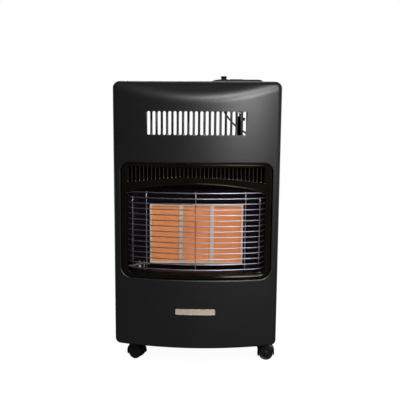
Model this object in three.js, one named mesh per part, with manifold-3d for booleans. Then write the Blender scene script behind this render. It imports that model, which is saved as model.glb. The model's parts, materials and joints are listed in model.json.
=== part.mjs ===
// Portable gas cabinet heater: a sheet-steel cabinet on four swivel castors with a
// three-plaque radiant burner behind a bowed wire guard.
// Millimetres. +X is the heater's left-to-right seen from the front, the front faces -Y, +Z is up.
// The origin is on the floor, under the middle of the overall width and depth.

import * as THREE from 'three';
import { mergeVertices } from 'three/addons/utils/BufferGeometryUtils.js';
import Module from 'manifold-3d';

const wasm = await Module();
wasm.setup();

// ---------------------------------------------------------------- driving dimensions

// Cabinet
const bodyWidth = 420;
const bodyDepth = 385;
const bodyTop = 735;
const panelBottom = 59.6;
const sheet = 1.2;
const gap = 0.3;

// Front panel
const panelBow = 32;
const panelReturn = 22;
const bowSteps = 12;
const edgeRadius = 10;
const topCornerRadius = 17;
const bottomCornerRadius = 12;
const facetDrop = 40;
const facetRun = 35;
const openingSide = 19;
const openingBottom = 239;
const openingDrop = 202;
const openingTopRadius = 22;
const openingBottomRadius = 28;
const openingLip = 9;
const ventCount = 19;
const ventPitch = 13;
const ventWidth = 7;
const ventDrop = 75;
const ventHeight = 57.5;

// Badge plate
const badgeWidth = 101;
const badgeHeight = 15;
const badgeDrop = 90;
const badgeThickness = 1.2;

// Bezel with its convection fins
const bezelGap = 1.5;
const bezelRecess = 2.5;
const bezelDepth = 12;
const bezelWall = 2;
const bezelSide = 17;
const bezelSill = 13;
const archDepth = 52;
const archDrop = 20;
const innerCornerRadius = 16;
const finCount = 35;
const finMargin = 18.1;
const finThickness = 2.4;
const finTopDrop = 10;
const finFootDepth = 35;
const finFootDrop = 18;

// Wire guard
const guardStandOff = 15.5;
const guardWire = 2.8;
const guardRows = 15;
const guardSillHeight = 17;
const guardTopDrop = 19.64;
const guardHookInset = 13;
const guardBow = 27;
const guardHookReach = 17;
const guardTopHookDip = 7;
const guardInnerUprightInset = 38;
const guardOuterUprightInset = 2;

// Radiant burner
const plaqueCount = 3;
const plaqueSideMargin = 42.75;
const plaqueSill = 12.5;
const plaqueTopMargin = 43.5;
const plaqueThickness = 12;
const plaqueDivider = 9.5;
const plaqueLap = 2;
const burnerSetback = 53;
const frameThickness = 1.6;
const frameBorder = 5;
const plenumDepth = 22;
const plenumWall = 1.6;

// Reflector pan round the burner
const panMouthSide = 6;
const panMouthLap = 4;
const panMouthRise = 7;
const panSideTaper = 46;
const panSillTaper = 14;
const panTopTaper = 24;
const panDepth = 65;

// Mixing tubes and injectors
const mixerRadius = 12;
const mixerThroatRadius = 7;
const mixerLength = 34;
const mixerWall = 1.4;
const injectorGap = 5;
const injectorRadius = 4.5;
const injectorHeight = 11;
const railHeight = 8;
const railDepth = 16;

// Heat shield between the burner and the gas bottle
const shieldSetback = 97;
const shieldRise = 32;
const shieldFlange = 14;
const shieldNotchDrop = 48;
const shieldNotchRise = 22;
const shieldNotchWidth = 52;

// Top cover, side panels, base tray and rear cover
const skirtHeight = 29;
const stripWidth = 14;
const sideFootFlange = 13;
const sideRearFlange = 14;
const trayRim = 26;
const padSide = 60;
const padFrontInset = 62;
const padRearInset = 26;
const padRaise = 2;
const rearCoverDrop = 175;
const rearCoverRim = 10;
const rearCoverSide = 5;
const louvreCount = 7;
const louvrePitch = 14;
const louvreWidth = 140;
const louvreHeight = 5;
const louvreBottom = 110;
const louvreOffset = 90;

// Controls on the top cover
const controlsSetback = 132;
const platformSide = 41;
const platformWidth = 135;
const platformDepth = 62;
const platformHeight = 8.9;
const platformCorner = 16;
const platformBevel = 3;
const platformLeftFall = 3.2;
const platformRightFall = 1.6;
const restSide = 11;
const restWidth = 15;
const restDepth = 34;
const restHeight = 1.1;
const knobSide = 68.5;
const knobRadius = 20.5;
const knobHeight = 11.6;
const knobGap = 1.2;
const knobTravel = 5;
const pointerWidth = 7;
const piezoStep = 33.1;
const piezoCapRadius = 8;
const piezoCapHeight = 4;
const piezoWaistRadius = 6.9;
const piezoWaist = 3.1;
const piezoTravel = 2.8;
const piezoBarrelRadius = 9;
const piezoBarrelLength = 52;
const piezoCollarRadius = 11;
const piezoCollarHeight = 3;
const piezoNutRadius = 13;
const piezoNutHeight = 5;
const spindleRadius = 4;

// Gas valve
const valveWidth = 54;
const valveDepth = 32;
const valveHeight = 34;
const valveOverhang = 16.5;
const valveDrop = 71;
const valveNeckRadius = 13;
const valveNeckHeight = 16;
const tapRadius = 7;
const tapClearance = 0.3;
const tapLength = 26;

// Gas hose, its nozzle, clamps and the regulator on its end
const hoseDiameter = 14;
const hoseEndZ = 202;
const hoseSideStep = 5;
const nozzleRadius = 4.5;
const nozzleFlangeRadius = 7.5;
const nozzleLength = 8;
const clampWidth = 8;
const clampInset = 5;
const clampThickness = 1.2;
const regulatorRadius = 28;
const regulatorThickness = 30;
const regulatorSkirtRadius = 19;
const regulatorSkirt = 12;
const regulatorTail = 16;
const switchLength = 40;
const switchWidth = 9;
const switchThickness = 5;

// Small tubes and leads
const supplyTube = 5;
const pilotTubeDiameter = 4;
const leadDiameter = 3;
const thermocoupleLeadDiameter = 2.4;
const thermocoupleLeadInset = 8;
const tubeBend = 10;
const igniterExit = 18.3;
const igniterSwag = [[14.3, 37.8], [27.7, 52.8], [42.6, 63.3], [56.7, 72.8], [78.6, 91.8]];
const igniterFall = 129.8;
const bundleSide = 34;
const bundleStandOff = 14;
const bundleFall = 60;
const laneStep = 8;
const crossDrop = 11.2;

// Pilot group
const pilotTubeSide = 25;
const pilotTubeDepth = 49;
const pilotEntryRise = 1;
const pilotReach = 65;
const pilotBurnerDiameter = 5.6;
const electrodeSide = 11;
const electrodeRadius = 3;
const electrodeTipRadius = 0.9;
const thermocoupleStep = 11;
const thermocoupleRadius = 2.6;
const thermocoupleTipRadius = 1.8;
const senseDepth = 55;
const senseDrop = 16;
const senseRise = 13;
const bracketDrop = 12;

// Castors
const castorSide = 36;
const castorFrontInset = 37.7;
const castorRearInset = 44.5;
const castorTrail = 16;
const wheelRadius = 19;
const wheelWidth = 12;
const wheelGap = 0.7;
const hoodThickness = 3;
const hoodStemSideDrop = 8.7;
const hoodRearSideDrop = 3.7;
const hoodWeb = 4;
const castorAxleRadius = 2.5;
const stemRadius = 5.5;
const stemLength = 22;
const stemFlangeRadius = 13;
const socketWall = 3;
const castorAngles = [-28, -6, 165, -60];

// ---------------------------------------------------------------- worked-out places

const halfWidth = bodyWidth / 2;
const rearY = bodyDepth / 2;
const guardFrontY = -bodyDepth / 2;
const faceFrontY = guardFrontY + guardStandOff;
const bowRadius = (halfWidth * halfWidth + panelBow * panelBow) / (2 * panelBow);
const panelRimY = faceFrontY + panelBow + panelReturn;
const facetTopY = faceFrontY + facetRun;
const facetLength = Math.hypot(facetRun, facetDrop);
const coverFrontY = panelRimY + gap;
const innerFaceX = halfWidth - sheet;
const stripInnerX = innerFaceX - gap - sheet;
const trayHalfWidth = stripInnerX - gap;
const trayBottom = panelBottom + sheet + gap;
const trayFloor = trayBottom + sheet;
const rearInnerY = rearY - sheet - gap;
const platformBottom = bodyTop + gap;
const platformTop = platformBottom + platformHeight;
const knobBottom = bodyTop + gap;
const knobTop = knobBottom + knobHeight;
const skirtBottom = bodyTop - skirtHeight;
const rearCoverTop = bodyTop - rearCoverDrop;
const controlsY = faceFrontY + controlsSetback;
const platformRight = halfWidth - platformSide;
const platformLeft = platformRight - platformWidth;
const restRight = platformRight - restSide;
const restLeft = restRight - restWidth;
const knobX = platformRight - knobSide;
const piezoX = knobX - piezoStep;
const valveLeft = knobX - valveOverhang;
const valveBottom = bodyTop - valveDrop;
const valveTop = valveBottom + valveHeight;
const neckTop = valveTop + valveNeckHeight;
const openingWidth = bodyWidth - 2 * openingSide;
const openingTop = bodyTop - openingDrop;
const ventTop = bodyTop - ventDrop;
const ventBottom = ventTop - ventHeight;
const badgeBottom = openingBottom - badgeDrop;
const bezelInnerWidth = openingWidth - 2 * bezelSide;
const bezelInnerBottom = openingBottom + bezelSill;
const archTop = openingTop - archDepth;
const finPitch = (openingWidth - 2 * finMargin - finThickness) / (finCount - 1);
const finTop = openingTop - finTopDrop;
const finFoot = openingTop - finFootDepth;
const guardBottom = bezelInnerBottom + guardSillHeight;
const guardPitch = (archTop - guardTopDrop - guardBottom) / (guardRows - 1);
const guardHalfSpan = bezelInnerWidth / 2 - guardHookInset;
const guardInnerUpright = guardHalfSpan - guardInnerUprightInset;
const guardOuterUpright = guardHalfSpan - guardOuterUprightInset;
const panMouthWidth = bodyWidth - 2 * panMouthSide;
const panMouthBottom = bezelInnerBottom - panMouthLap;
const panMouthTop = archTop + panMouthRise;
const panFloorWidth = panMouthWidth - 2 * panSideTaper;
const panFloorBottom = panMouthBottom + panSillTaper;
const panFloorTop = panMouthTop - panTopTaper;
const panFloorY = faceFrontY + panDepth;
const burnerFront = faceFrontY + burnerSetback;
const burnerWidth = panFloorWidth - 2 * plaqueSideMargin;
const plaqueWidth = (burnerWidth - (plaqueCount - 1) * plaqueDivider) / plaqueCount;
const plaqueBottom = panFloorBottom + plaqueSill;
const plaqueHeight = panFloorTop - plaqueTopMargin - plaqueBottom;
const plaquePitch = plaqueWidth + plaqueDivider;
const plaqueFrontY = burnerFront + frameThickness + gap;
const plenumFrontY = plaqueFrontY + plaqueThickness + gap;
const plenumRearY = plenumFrontY + plenumDepth;
const plenumBottom = plaqueBottom - frameBorder;
const plenumY = (plenumFrontY + plenumRearY) / 2;
const mixerTop = plenumBottom - gap;
const mixerBottom = mixerTop - mixerLength;
const injectorTop = mixerBottom - injectorGap;
const railTop = injectorTop - injectorHeight;
const railBottom = railTop - railHeight;
const crossZ = railBottom - crossDrop;
const shieldY = faceFrontY + shieldSetback;
const shieldTop = openingTop + shieldRise;
const shieldNotchLow = crossZ - shieldNotchDrop;
const shieldNotchHigh = crossZ + shieldNotchRise;
const bundleX = halfWidth - bundleSide;
const bundleY = shieldY + bundleStandOff;
const pilotTubeX = -halfWidth + pilotTubeSide;
const pilotTubeY = faceFrontY + pilotTubeDepth;
const pilotEntryZ = panFloorBottom + pilotEntryRise;
const electrodeX = -panFloorWidth / 2 + electrodeSide;
const thermocoupleX = electrodeX + thermocoupleStep;
const senseY = faceFrontY + senseDepth;
const senseBottom = panFloorBottom - senseDrop;
const senseTop = panFloorBottom + senseRise;
const bracketZ = panFloorBottom - bracketDrop;
const castorX = halfWidth - castorSide;
const castorFrontY = coverFrontY + castorFrontInset;
const castorRearY = rearY - castorRearInset;
const capBottom = platformTop + piezoCollarHeight + piezoWaist;
const barrelBottom = bodyTop - sheet - piezoBarrelLength;
const axleZ = wheelRadius;

// ---------------------------------------------------------------- materials

function paint(color, roughness, metalness) {
  return new THREE.MeshStandardMaterial({ color, roughness, metalness });
}

const charcoalPaint = paint(0x3a393b, 0.45, 0.2);
const innerSteel = paint(0x8a8c8e, 0.4, 0.8);
const glossEnamel = paint(0x17130f, 0.18, 0.1);
const chromeWire = paint(0xc9c6cf, 0.2, 1);
const darkReflector = paint(0x24222c, 0.25, 0.9);
const plaqueCeramic = paint(0xd08a5c, 0.9, 0);
const creamSteel = paint(0xb9b0a0, 0.5, 0.4);
const brassMetal = paint(0xb08d4a, 0.35, 0.9);
const copperTube = paint(0xa8694a, 0.35, 0.9);
const blackPlastic = paint(0x141415, 0.4, 0);
const blackRubber = paint(0x101010, 0.75, 0);
const zincMetal = paint(0xa6a8aa, 0.4, 0.8);
const whiteCeramic = paint(0xe8e4da, 0.4, 0);
const goldPlate = paint(0xb7a37a, 0.3, 0.7);

// ---------------------------------------------------------------- solid helpers

function signedVolume(positions, triangles) {
  const a = new THREE.Vector3();
  const b = new THREE.Vector3();
  const c = new THREE.Vector3();
  let total = 0;
  for (let i = 0; i < triangles.length; i += 3) {
    a.fromArray(positions, triangles[i] * 3);
    b.fromArray(positions, triangles[i + 1] * 3);
    c.fromArray(positions, triangles[i + 2] * 3);
    total += a.dot(b.cross(c)) / 6;
  }
  return total;
}

// A closed three.js geometry as a solid whose faces point outwards.
function solid(geometry) {
  const bare = geometry.clone();
  bare.deleteAttribute('normal');
  bare.deleteAttribute('uv');
  const merged = mergeVertices(bare, 1e-4);
  const positions = merged.attributes.position.array;
  const index = merged.index.array;
  const triangles = [];
  for (let i = 0; i < index.length; i += 3) {
    const [a, b, c] = [index[i], index[i + 1], index[i + 2]];
    if (a !== b && b !== c && a !== c) triangles.push(a, b, c);
  }
  if (signedVolume(positions, triangles) < 0) triangles.reverse();
  return new wasm.Manifold(new wasm.Mesh({
    numProp: 3,
    vertProperties: new Float32Array(positions),
    triVerts: new Uint32Array(triangles),
  }));
}

function geometryOf(manifold) {
  const mesh = manifold.getMesh();
  const geometry = new THREE.BufferGeometry();
  geometry.setAttribute('position', new THREE.BufferAttribute(mesh.vertProperties, 3));
  geometry.setIndex(new THREE.BufferAttribute(mesh.triVerts, 1));
  geometry.computeVertexNormals();
  return geometry;
}

function join(solids) {
  return solids.reduce((whole, next) => whole.add(next));
}

function cut(whole, cutters) {
  return cutters.reduce((rest, next) => rest.subtract(next), whole);
}

function block(xMin, xMax, yMin, yMax, zMin, zMax) {
  const geometry = new THREE.BoxGeometry(xMax - xMin, yMax - yMin, zMax - zMin);
  geometry.translate((xMin + xMax) / 2, (yMin + yMax) / 2, (zMin + zMax) / 2);
  return solid(geometry);
}

// An outline drawn in plan (x, y), raised from zMin to zMax.
function raise(shape, zMin, zMax, curveSegments = 5) {
  const geometry = new THREE.ExtrudeGeometry(shape, {
    depth: zMax - zMin, bevelEnabled: false, curveSegments,
  });
  geometry.translate(0, 0, zMin);
  return solid(geometry);
}

// An outline drawn as seen from the front (x, z), running back from yMin to yMax.
function runBack(shape, yMin, yMax, curveSegments = 5) {
  const geometry = new THREE.ExtrudeGeometry(shape, {
    depth: yMax - yMin, bevelEnabled: false, curveSegments,
  });
  geometry.rotateX(Math.PI / 2);
  geometry.translate(0, yMax, 0);
  return solid(geometry);
}

// An outline drawn as seen from the side (y, z), running across from xMin to xMax.
function runAcross(shape, xMin, xMax) {
  const geometry = new THREE.ExtrudeGeometry(shape, {
    depth: xMax - xMin, bevelEnabled: false,
  });
  const turn = new THREE.Matrix4().makeBasis(
    new THREE.Vector3(0, 1, 0), new THREE.Vector3(0, 0, 1), new THREE.Vector3(1, 0, 0));
  geometry.applyMatrix4(turn);
  geometry.translate(xMin, 0, 0);
  return solid(geometry);
}

// A profile of (radius, height) pairs turned round +Z.
function turned(profile, segments = 20) {
  const points = profile.map(([radius, height]) => new THREE.Vector2(radius, height));
  const geometry = new THREE.LatheGeometry(points, segments);
  geometry.rotateX(Math.PI / 2);
  return solid(geometry);
}

function rod(radius, zMin, zMax, segments = 20) {
  return turned([[0, zMin], [radius, zMin], [radius, zMax], [0, zMax]], segments);
}

function tube(radius, bore, zMin, zMax, segments = 20) {
  return turned([[bore, zMin], [radius, zMin], [radius, zMax], [bore, zMax], [bore, zMin]], segments);
}

function polygon(points) {
  return new THREE.Shape(points.map(([x, y]) => new THREE.Vector2(x, y)));
}

// A rectangle with its own corner radius at the bottom and at the top.
function roundedRectangle(xMin, xMax, yMin, yMax, bottomRadius, topRadius = bottomRadius) {
  const shape = new THREE.Shape();
  shape.moveTo(xMin + bottomRadius, yMin);
  shape.lineTo(xMax - bottomRadius, yMin);
  shape.absarc(xMax - bottomRadius, yMin + bottomRadius, bottomRadius, -Math.PI / 2, 0, false);
  shape.lineTo(xMax, yMax - topRadius);
  shape.absarc(xMax - topRadius, yMax - topRadius, topRadius, 0, Math.PI / 2, false);
  shape.lineTo(xMin + topRadius, yMax);
  shape.absarc(xMin + topRadius, yMax - topRadius, topRadius, Math.PI / 2, Math.PI, false);
  shape.lineTo(xMin, yMin + bottomRadius);
  shape.absarc(xMin + bottomRadius, yMin + bottomRadius, bottomRadius, Math.PI, Math.PI * 1.5, false);
  return shape;
}

// A block whose front and back faces are different upright rectangles.
function taperedBlock(front, back, yFront, yBack) {
  const geometry = new THREE.BoxGeometry(1, 1, 1);
  const position = geometry.attributes.position;
  for (let i = 0; i < position.count; i += 1) {
    const face = position.getY(i) < 0 ? front : back;
    const x = position.getX(i) < 0 ? -face.halfWidth : face.halfWidth;
    const z = position.getZ(i) < 0 ? face.bottom : face.top;
    position.setXYZ(i, x, position.getY(i) < 0 ? yFront : yBack, z);
  }
  return solid(geometry);
}

// A curve that passes straight from one listed point to the next, one step each.
class Polyline extends THREE.Curve {
  constructor(points) {
    super();
    this.points = points;
  }

  getPoint(t, target = new THREE.Vector3()) {
    const place = THREE.MathUtils.clamp(t, 0, 1) * (this.points.length - 1);
    const start = Math.min(Math.floor(place), this.points.length - 2);
    return target.copy(this.points[start]).lerp(this.points[start + 1], place - start);
  }

  getPointAt(u, target) {
    return this.getPoint(u, target);
  }

  getTangentAt(u, target) {
    return this.getTangent(u, target);
  }
}

// The listed corners with each inner one rounded off.
function bent(corners, radius, steps = 3) {
  const points = corners.map((corner) => new THREE.Vector3(...corner));
  const path = [points[0]];
  for (let i = 1; i < points.length - 1; i += 1) {
    const before = points[i - 1].clone().sub(points[i]);
    const after = points[i + 1].clone().sub(points[i]);
    const reach = Math.min(radius, before.length() * 0.45, after.length() * 0.45);
    const start = points[i].clone().addScaledVector(before.normalize(), reach);
    const end = points[i].clone().addScaledVector(after.normalize(), reach);
    const curve = new THREE.QuadraticBezierCurve3(start, points[i], end);
    path.push(...curve.getPoints(steps));
  }
  path.push(points[points.length - 1]);
  return path;
}

function wire(points, diameter, sides = 5) {
  const section = new THREE.Shape();
  for (let i = 0; i < sides; i += 1) {
    const angle = (i + 0.5) * 2 * Math.PI / sides;
    const x = Math.cos(angle) * diameter / 2;
    const y = Math.sin(angle) * diameter / 2;
    if (i === 0) section.moveTo(x, y);
    else section.lineTo(x, y);
  }
  const geometry = new THREE.ExtrudeGeometry(section, {
    steps: points.length - 1, extrudePath: new Polyline(points), bevelEnabled: false,
  });
  return solid(geometry);
}

const heater = new THREE.Group();

function add(name, manifold, material, parent = heater) {
  const mesh = new THREE.Mesh(geometryOf(manifold), material.clone());
  mesh.name = name;
  parent.add(mesh);
  return mesh;
}

// ---------------------------------------------------------------- cabinet outlines

// Front face of the bowed panel at a distance x from the middle.
function bowY(x) {
  return faceFrontY + bowRadius - Math.sqrt(bowRadius * bowRadius - x * x);
}

// Everything behind the bowed face, moved back by an offset.
function behindBow(offset, rear, zMin, zMax, reach = halfWidth) {
  const points = [];
  for (let i = 0; i <= bowSteps; i += 1) {
    const x = -reach + 2 * reach * i / bowSteps;
    points.push([x, bowY(x) + offset]);
  }
  points.push([reach, rear], [-reach, rear]);
  return raise(polygon(points), zMin, zMax);
}

// The panel's plan with its rounded upright edges, moved in by an inset.
function planOutline(inset, rear) {
  const side = halfWidth - inset;
  const shoulder = halfWidth - edgeRadius;
  const shape = new THREE.Shape();
  shape.moveTo(-side, rear);
  shape.lineTo(-side, bowY(halfWidth) + edgeRadius);
  shape.quadraticCurveTo(-side, bowY(halfWidth) + inset, -shoulder, bowY(shoulder) + inset);
  for (let i = 1; i <= bowSteps; i += 1) {
    const x = -shoulder + 2 * shoulder * i / bowSteps;
    shape.lineTo(x, bowY(x) + inset);
  }
  shape.quadraticCurveTo(side, bowY(halfWidth) + inset, side, bowY(halfWidth) + edgeRadius);
  shape.lineTo(side, rear);
  return shape;
}

// The panel's side view: upright in front, with the sloping facet up to the top edge.
function sideOutline(inset, rear) {
  const backward = inset * facetDrop / facetLength;
  const downward = inset * facetRun / facetLength;
  const slope = facetDrop / facetRun;
  const farFront = faceFrontY - panelBow;
  const topZ = bodyTop - inset;
  const facetStartZ = bodyTop - downward - slope * (facetTopY + backward - farFront);
  const facetEndY = facetTopY + backward - (inset - downward) / slope;
  return polygon([
    [rear, panelBottom - panelBow], [farFront, panelBottom - panelBow],
    [farFront, facetStartZ], [facetEndY, topZ], [rear, topZ],
  ]);
}

function frontOutline(inset) {
  return roundedRectangle(-halfWidth + inset, halfWidth - inset, panelBottom + inset, bodyTop - inset,
    bottomCornerRadius - inset, topCornerRadius - inset);
}

function panelBlank(inset, rear) {
  const frontFar = faceFrontY - panelBow;
  return runBack(frontOutline(inset), frontFar, rear)
    .intersect(raise(planOutline(inset, rear), panelBottom - panelBow, bodyTop + panelBow))
    .intersect(runAcross(sideOutline(inset, rear), -halfWidth, halfWidth));
}

function openingOutline(inset) {
  const side = openingWidth / 2 - inset;
  return roundedRectangle(-side, side, openingBottom + inset, openingTop - inset,
    openingBottomRadius - inset, openingTopRadius - inset);
}

// ---------------------------------------------------------------- cabinet

function frontPanel() {
  const shell = panelBlank(0, panelRimY).subtract(panelBlank(sheet, panelRimY + panelReturn));
  const lip = runBack(openingOutline(-sheet), faceFrontY, panelRimY)
    .intersect(behindBow(0, panelRimY, panelBottom, bodyTop))
    .subtract(behindBow(openingLip, panelRimY + 1, panelBottom, bodyTop));
  const vents = [];
  for (let i = 0; i < ventCount; i += 1) {
    const x = (i - (ventCount - 1) / 2) * ventPitch;
    const outline = roundedRectangle(x - ventWidth / 2, x + ventWidth / 2, ventBottom, ventTop,
      ventWidth / 2 - 0.01);
    vents.push(runBack(outline, faceFrontY - 1, panelRimY, 2));
  }
  const opening = runBack(openingOutline(0), faceFrontY - 1, panelRimY + 1);
  return cut(join([shell, lip]), [opening, ...vents]);
}

function badgePlate() {
  const half = badgeWidth / 2;
  const outline = roundedRectangle(-half, half, badgeBottom, badgeBottom + badgeHeight, 2);
  return runBack(outline, faceFrontY - panelBow, panelRimY)
    .intersect(behindBow(-gap - badgeThickness, panelRimY, panelBottom, bodyTop))
    .subtract(behindBow(-gap, panelRimY + 1, panelBottom, bodyTop));
}

function knobHole(zMin, zMax) {
  return rod(knobRadius + knobGap, zMin, zMax, 24).translate(knobX, controlsY, 0);
}

function piezoHole(zMin, zMax) {
  return rod(piezoBarrelRadius + gap, zMin, zMax).translate(piezoX, controlsY, 0);
}

function topCover() {
  const outer = roundedRectangle(-halfWidth, halfWidth, skirtBottom - topCornerRadius, bodyTop,
    1, topCornerRadius);
  const inner = roundedRectangle(-innerFaceX, innerFaceX, skirtBottom - 2 * topCornerRadius,
    bodyTop - sheet, 1, topCornerRadius - sheet);
  const shell = runBack(outer, coverFrontY, rearY)
    .subtract(runBack(inner, coverFrontY - 1, rearY - sheet))
    .subtract(block(-bodyWidth, bodyWidth, -bodyDepth, bodyDepth, 0, skirtBottom));
  const stripHalf = halfWidth - topCornerRadius - sheet;
  const stripTop = bodyTop - sheet - gap;
  const tongue = block(-stripHalf, stripHalf, coverFrontY - stripWidth / 2, coverFrontY + stripWidth,
    stripTop - sheet, stripTop);
  const tongueRoot = block(-stripHalf, stripHalf, coverFrontY + 1, coverFrontY + stripWidth,
    stripTop - sheet, bodyTop - sheet / 2);
  return cut(join([shell, tongue, tongueRoot]), [
    knobHole(skirtBottom, bodyTop + 1), piezoHole(skirtBottom, bodyTop + 1),
  ]);
}

// The right-hand side panel; the left one is its mirror image.
function sidePanel() {
  const top = skirtBottom - gap;
  const wall = block(innerFaceX, halfWidth, coverFrontY, rearInnerY, panelBottom, top);
  const foot = block(halfWidth - sideFootFlange, halfWidth, coverFrontY, rearInnerY,
    panelBottom, panelBottom + sheet);
  const rear = block(halfWidth - sideRearFlange, halfWidth, rearInnerY - sheet, rearInnerY,
    panelBottom, top);
  const stripOuterX = stripInnerX + sheet;
  const frontStrip = block(stripInnerX, stripOuterX, coverFrontY - stripWidth / 2,
    coverFrontY + stripWidth, panelBottom + bottomCornerRadius, top - stripWidth);
  const frontRoot = block(stripInnerX, innerFaceX + sheet / 2, coverFrontY + 1,
    coverFrontY + stripWidth, panelBottom + bottomCornerRadius, top - stripWidth);
  const topStrip = block(stripInnerX, stripOuterX, coverFrontY + 2 * stripWidth,
    rearInnerY - 2 * stripWidth, top - stripWidth, top + stripWidth / 2);
  const topRoot = block(stripInnerX, innerFaceX + sheet / 2, coverFrontY + 2 * stripWidth,
    rearInnerY - 2 * stripWidth, top - stripWidth, top);
  return join([wall, foot, rear, frontStrip, frontRoot, topStrip, topRoot]);
}

function castorPlaces() {
  return [
    { name: 'front_left', x: -castorX, y: castorFrontY },
    { name: 'front_right', x: castorX, y: castorFrontY },
    { name: 'rear_left', x: -castorX, y: castorRearY },
    { name: 'rear_right', x: castorX, y: castorRearY },
  ];
}

function baseTray() {
  const front = coverFrontY + gap;
  const rear = rearInnerY - sheet - gap;
  const pan = block(-trayHalfWidth, trayHalfWidth, front, rear, trayBottom, trayBottom + trayRim)
    .subtract(block(-trayHalfWidth + sheet, trayHalfWidth - sheet, front + sheet, rear + 1,
      trayFloor, trayBottom + trayRim + 1));
  const padHalf = halfWidth - padSide;
  const padFront = front + padFrontInset;
  const padRear = rear - padRearInset;
  const pad = block(-padHalf, padHalf, padFront, padRear, trayBottom, trayFloor + padRaise);
  const padUnderside = block(-padHalf + sheet, padHalf - sheet, padFront + sheet, padRear - sheet,
    trayBottom - 1, trayBottom + padRaise);
  const boreRadius = stemRadius + gap;
  const sockets = castorPlaces().map(({ x, y }) => rod(boreRadius + socketWall, trayBottom,
    trayBottom + stemLength, 12).translate(x, y, 0));
  const bores = castorPlaces().map(({ x, y }) => rod(boreRadius, trayBottom - 1,
    trayBottom + stemLength + 1, 12).translate(x, y, 0));
  return cut(join([pan, pad, ...sockets]), [padUnderside, ...bores]);
}

function rearCover() {
  const bottom = trayFloor;
  const half = halfWidth - rearCoverSide;
  const face = block(-half, half, rearY - sheet, rearY, bottom, rearCoverTop);
  const rimHalf = halfWidth - sideRearFlange - gap - 1;
  const rimOuter = block(-rimHalf, rimHalf, rearY - sheet - rearCoverRim, rearY - sheet / 2,
    bottom + trayRim, rearCoverTop);
  const rimInner = block(-rimHalf + sheet, rimHalf - sheet, rearY - bodyDepth / 2, rearY - sheet,
    bottom + trayRim + sheet, rearCoverTop - sheet);
  const louvres = [];
  for (let i = 0; i < louvreCount; i += 1) {
    const z = louvreBottom + i * louvrePitch;
    for (const x of [-louvreOffset, louvreOffset]) {
      const outline = roundedRectangle(x - louvreWidth / 2, x + louvreWidth / 2, z, z + louvreHeight,
        louvreHeight / 2 - 0.01);
      louvres.push(runBack(outline, rearY - rearCoverRim / 2, rearY + 1, 1));
    }
  }
  return cut(join([face, rimOuter.subtract(rimInner)]), louvres);
}

// ---------------------------------------------------------------- bezel and guard

function footZ(x) {
  const share = x / (openingWidth / 2);
  return finFoot - finFootDrop * share * share;
}

// The arched window in the bezel; a positive inset makes it smaller.
function windowOutline(inset) {
  const side = bezelInnerWidth / 2 - inset;
  const bottom = bezelInnerBottom + inset;
  const radius = innerCornerRadius - inset;
  const shape = new THREE.Shape();
  shape.moveTo(-side + radius, bottom);
  shape.lineTo(side - radius, bottom);
  shape.absarc(side - radius, bottom + radius, radius, -Math.PI / 2, 0, false);
  const steps = 14;
  for (let i = 0; i <= steps; i += 1) {
    const share = 1 - 2 * i / steps;
    const shoulder = i === 0 || i === steps ? radius / 4 : 0;
    shape.lineTo(share * side, archTop - inset - archDrop * share * share - shoulder);
  }
  shape.lineTo(-side, bottom + radius);
  shape.absarc(-side + radius, bottom + radius, radius, Math.PI, Math.PI * 1.5, false);
  return shape;
}

function bezel() {
  const rear = panelRimY;
  const face = runBack(openingOutline(bezelGap), faceFrontY, rear)
    .intersect(behindBow(bezelRecess, rear, panelBottom, bodyTop))
    .subtract(behindBow(bezelRecess + bezelDepth, rear + 1, panelBottom, bodyTop));
  const window = runBack(windowOutline(0), faceFrontY, rear);
  const finZoneBottom = footZ(openingWidth / 2) - bezelWall;
  const finZone = block(-halfWidth, halfWidth, faceFrontY, rear, finZoneBottom, bodyTop);
  const pocket = runBack(openingOutline(bezelGap + bezelWall), faceFrontY, rear)
    .subtract(runBack(windowOutline(-bezelWall), faceFrontY, rear))
    .subtract(finZone)
    .intersect(behindBow(bezelRecess + bezelWall, rear, panelBottom, bodyTop));
  const slots = [];
  for (let i = 0; i < finCount - 1; i += 1) {
    const left = (i - (finCount - 1) / 2) * finPitch + finThickness / 2;
    const right = left + finPitch - finThickness;
    const outline = polygon([[left, footZ(left)], [right, footZ(right)], [right, finTop], [left, finTop]]);
    slots.push(runBack(outline, faceFrontY, rear));
  }
  return cut(face, [window, pocket, ...slots]);
}

// Front line of the guard at a distance x from the middle.
function guardY(x) {
  const share = x / guardHalfSpan;
  return guardFrontY + guardWire / 2 + guardBow * share * share;
}

// One level wire with its ends hooked back; the hooks may dip below the wire.
function guardRow(z, dip) {
  const points = [];
  const steps = 8;
  const hookX = bezelInnerWidth / 2 - gap - guardWire / 2;
  points.push(new THREE.Vector3(-hookX, guardY(guardHalfSpan) + guardHookReach, z - dip));
  for (let i = 0; i <= steps; i += 1) {
    const x = -guardHalfSpan + 2 * guardHalfSpan * i / steps;
    points.push(new THREE.Vector3(x, guardY(x), z));
  }
  points.push(new THREE.Vector3(hookX, guardY(guardHalfSpan) + guardHookReach, z - dip));
  return wire(points, guardWire);
}

function guardUpright(x, zMin, zMax) {
  const y = guardY(x) + guardWire * 0.8;
  return wire([new THREE.Vector3(x, y, zMin), new THREE.Vector3(x, y, zMax)], guardWire);
}

function wireGuard() {
  const wires = [];
  for (let i = 0; i < guardRows; i += 1) {
    wires.push(guardRow(guardBottom + i * guardPitch, i === guardRows - 1 ? guardTopHookDip : 0));
  }
  const top = guardBottom + (guardRows - 1) * guardPitch;
  const overhang = guardWire * 1.2;
  for (const x of [-guardInnerUpright, 0, guardInnerUpright]) {
    wires.push(guardUpright(x, guardBottom - overhang, top + overhang));
  }
  for (const x of [-guardOuterUpright, guardOuterUpright]) {
    wires.push(guardUpright(x, guardBottom + guardPitch - overhang, top - guardPitch + overhang));
  }
  return join(wires);
}

// ---------------------------------------------------------------- burner

function plaqueX(i) {
  return (i - (plaqueCount - 1) / 2) * plaquePitch;
}

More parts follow.
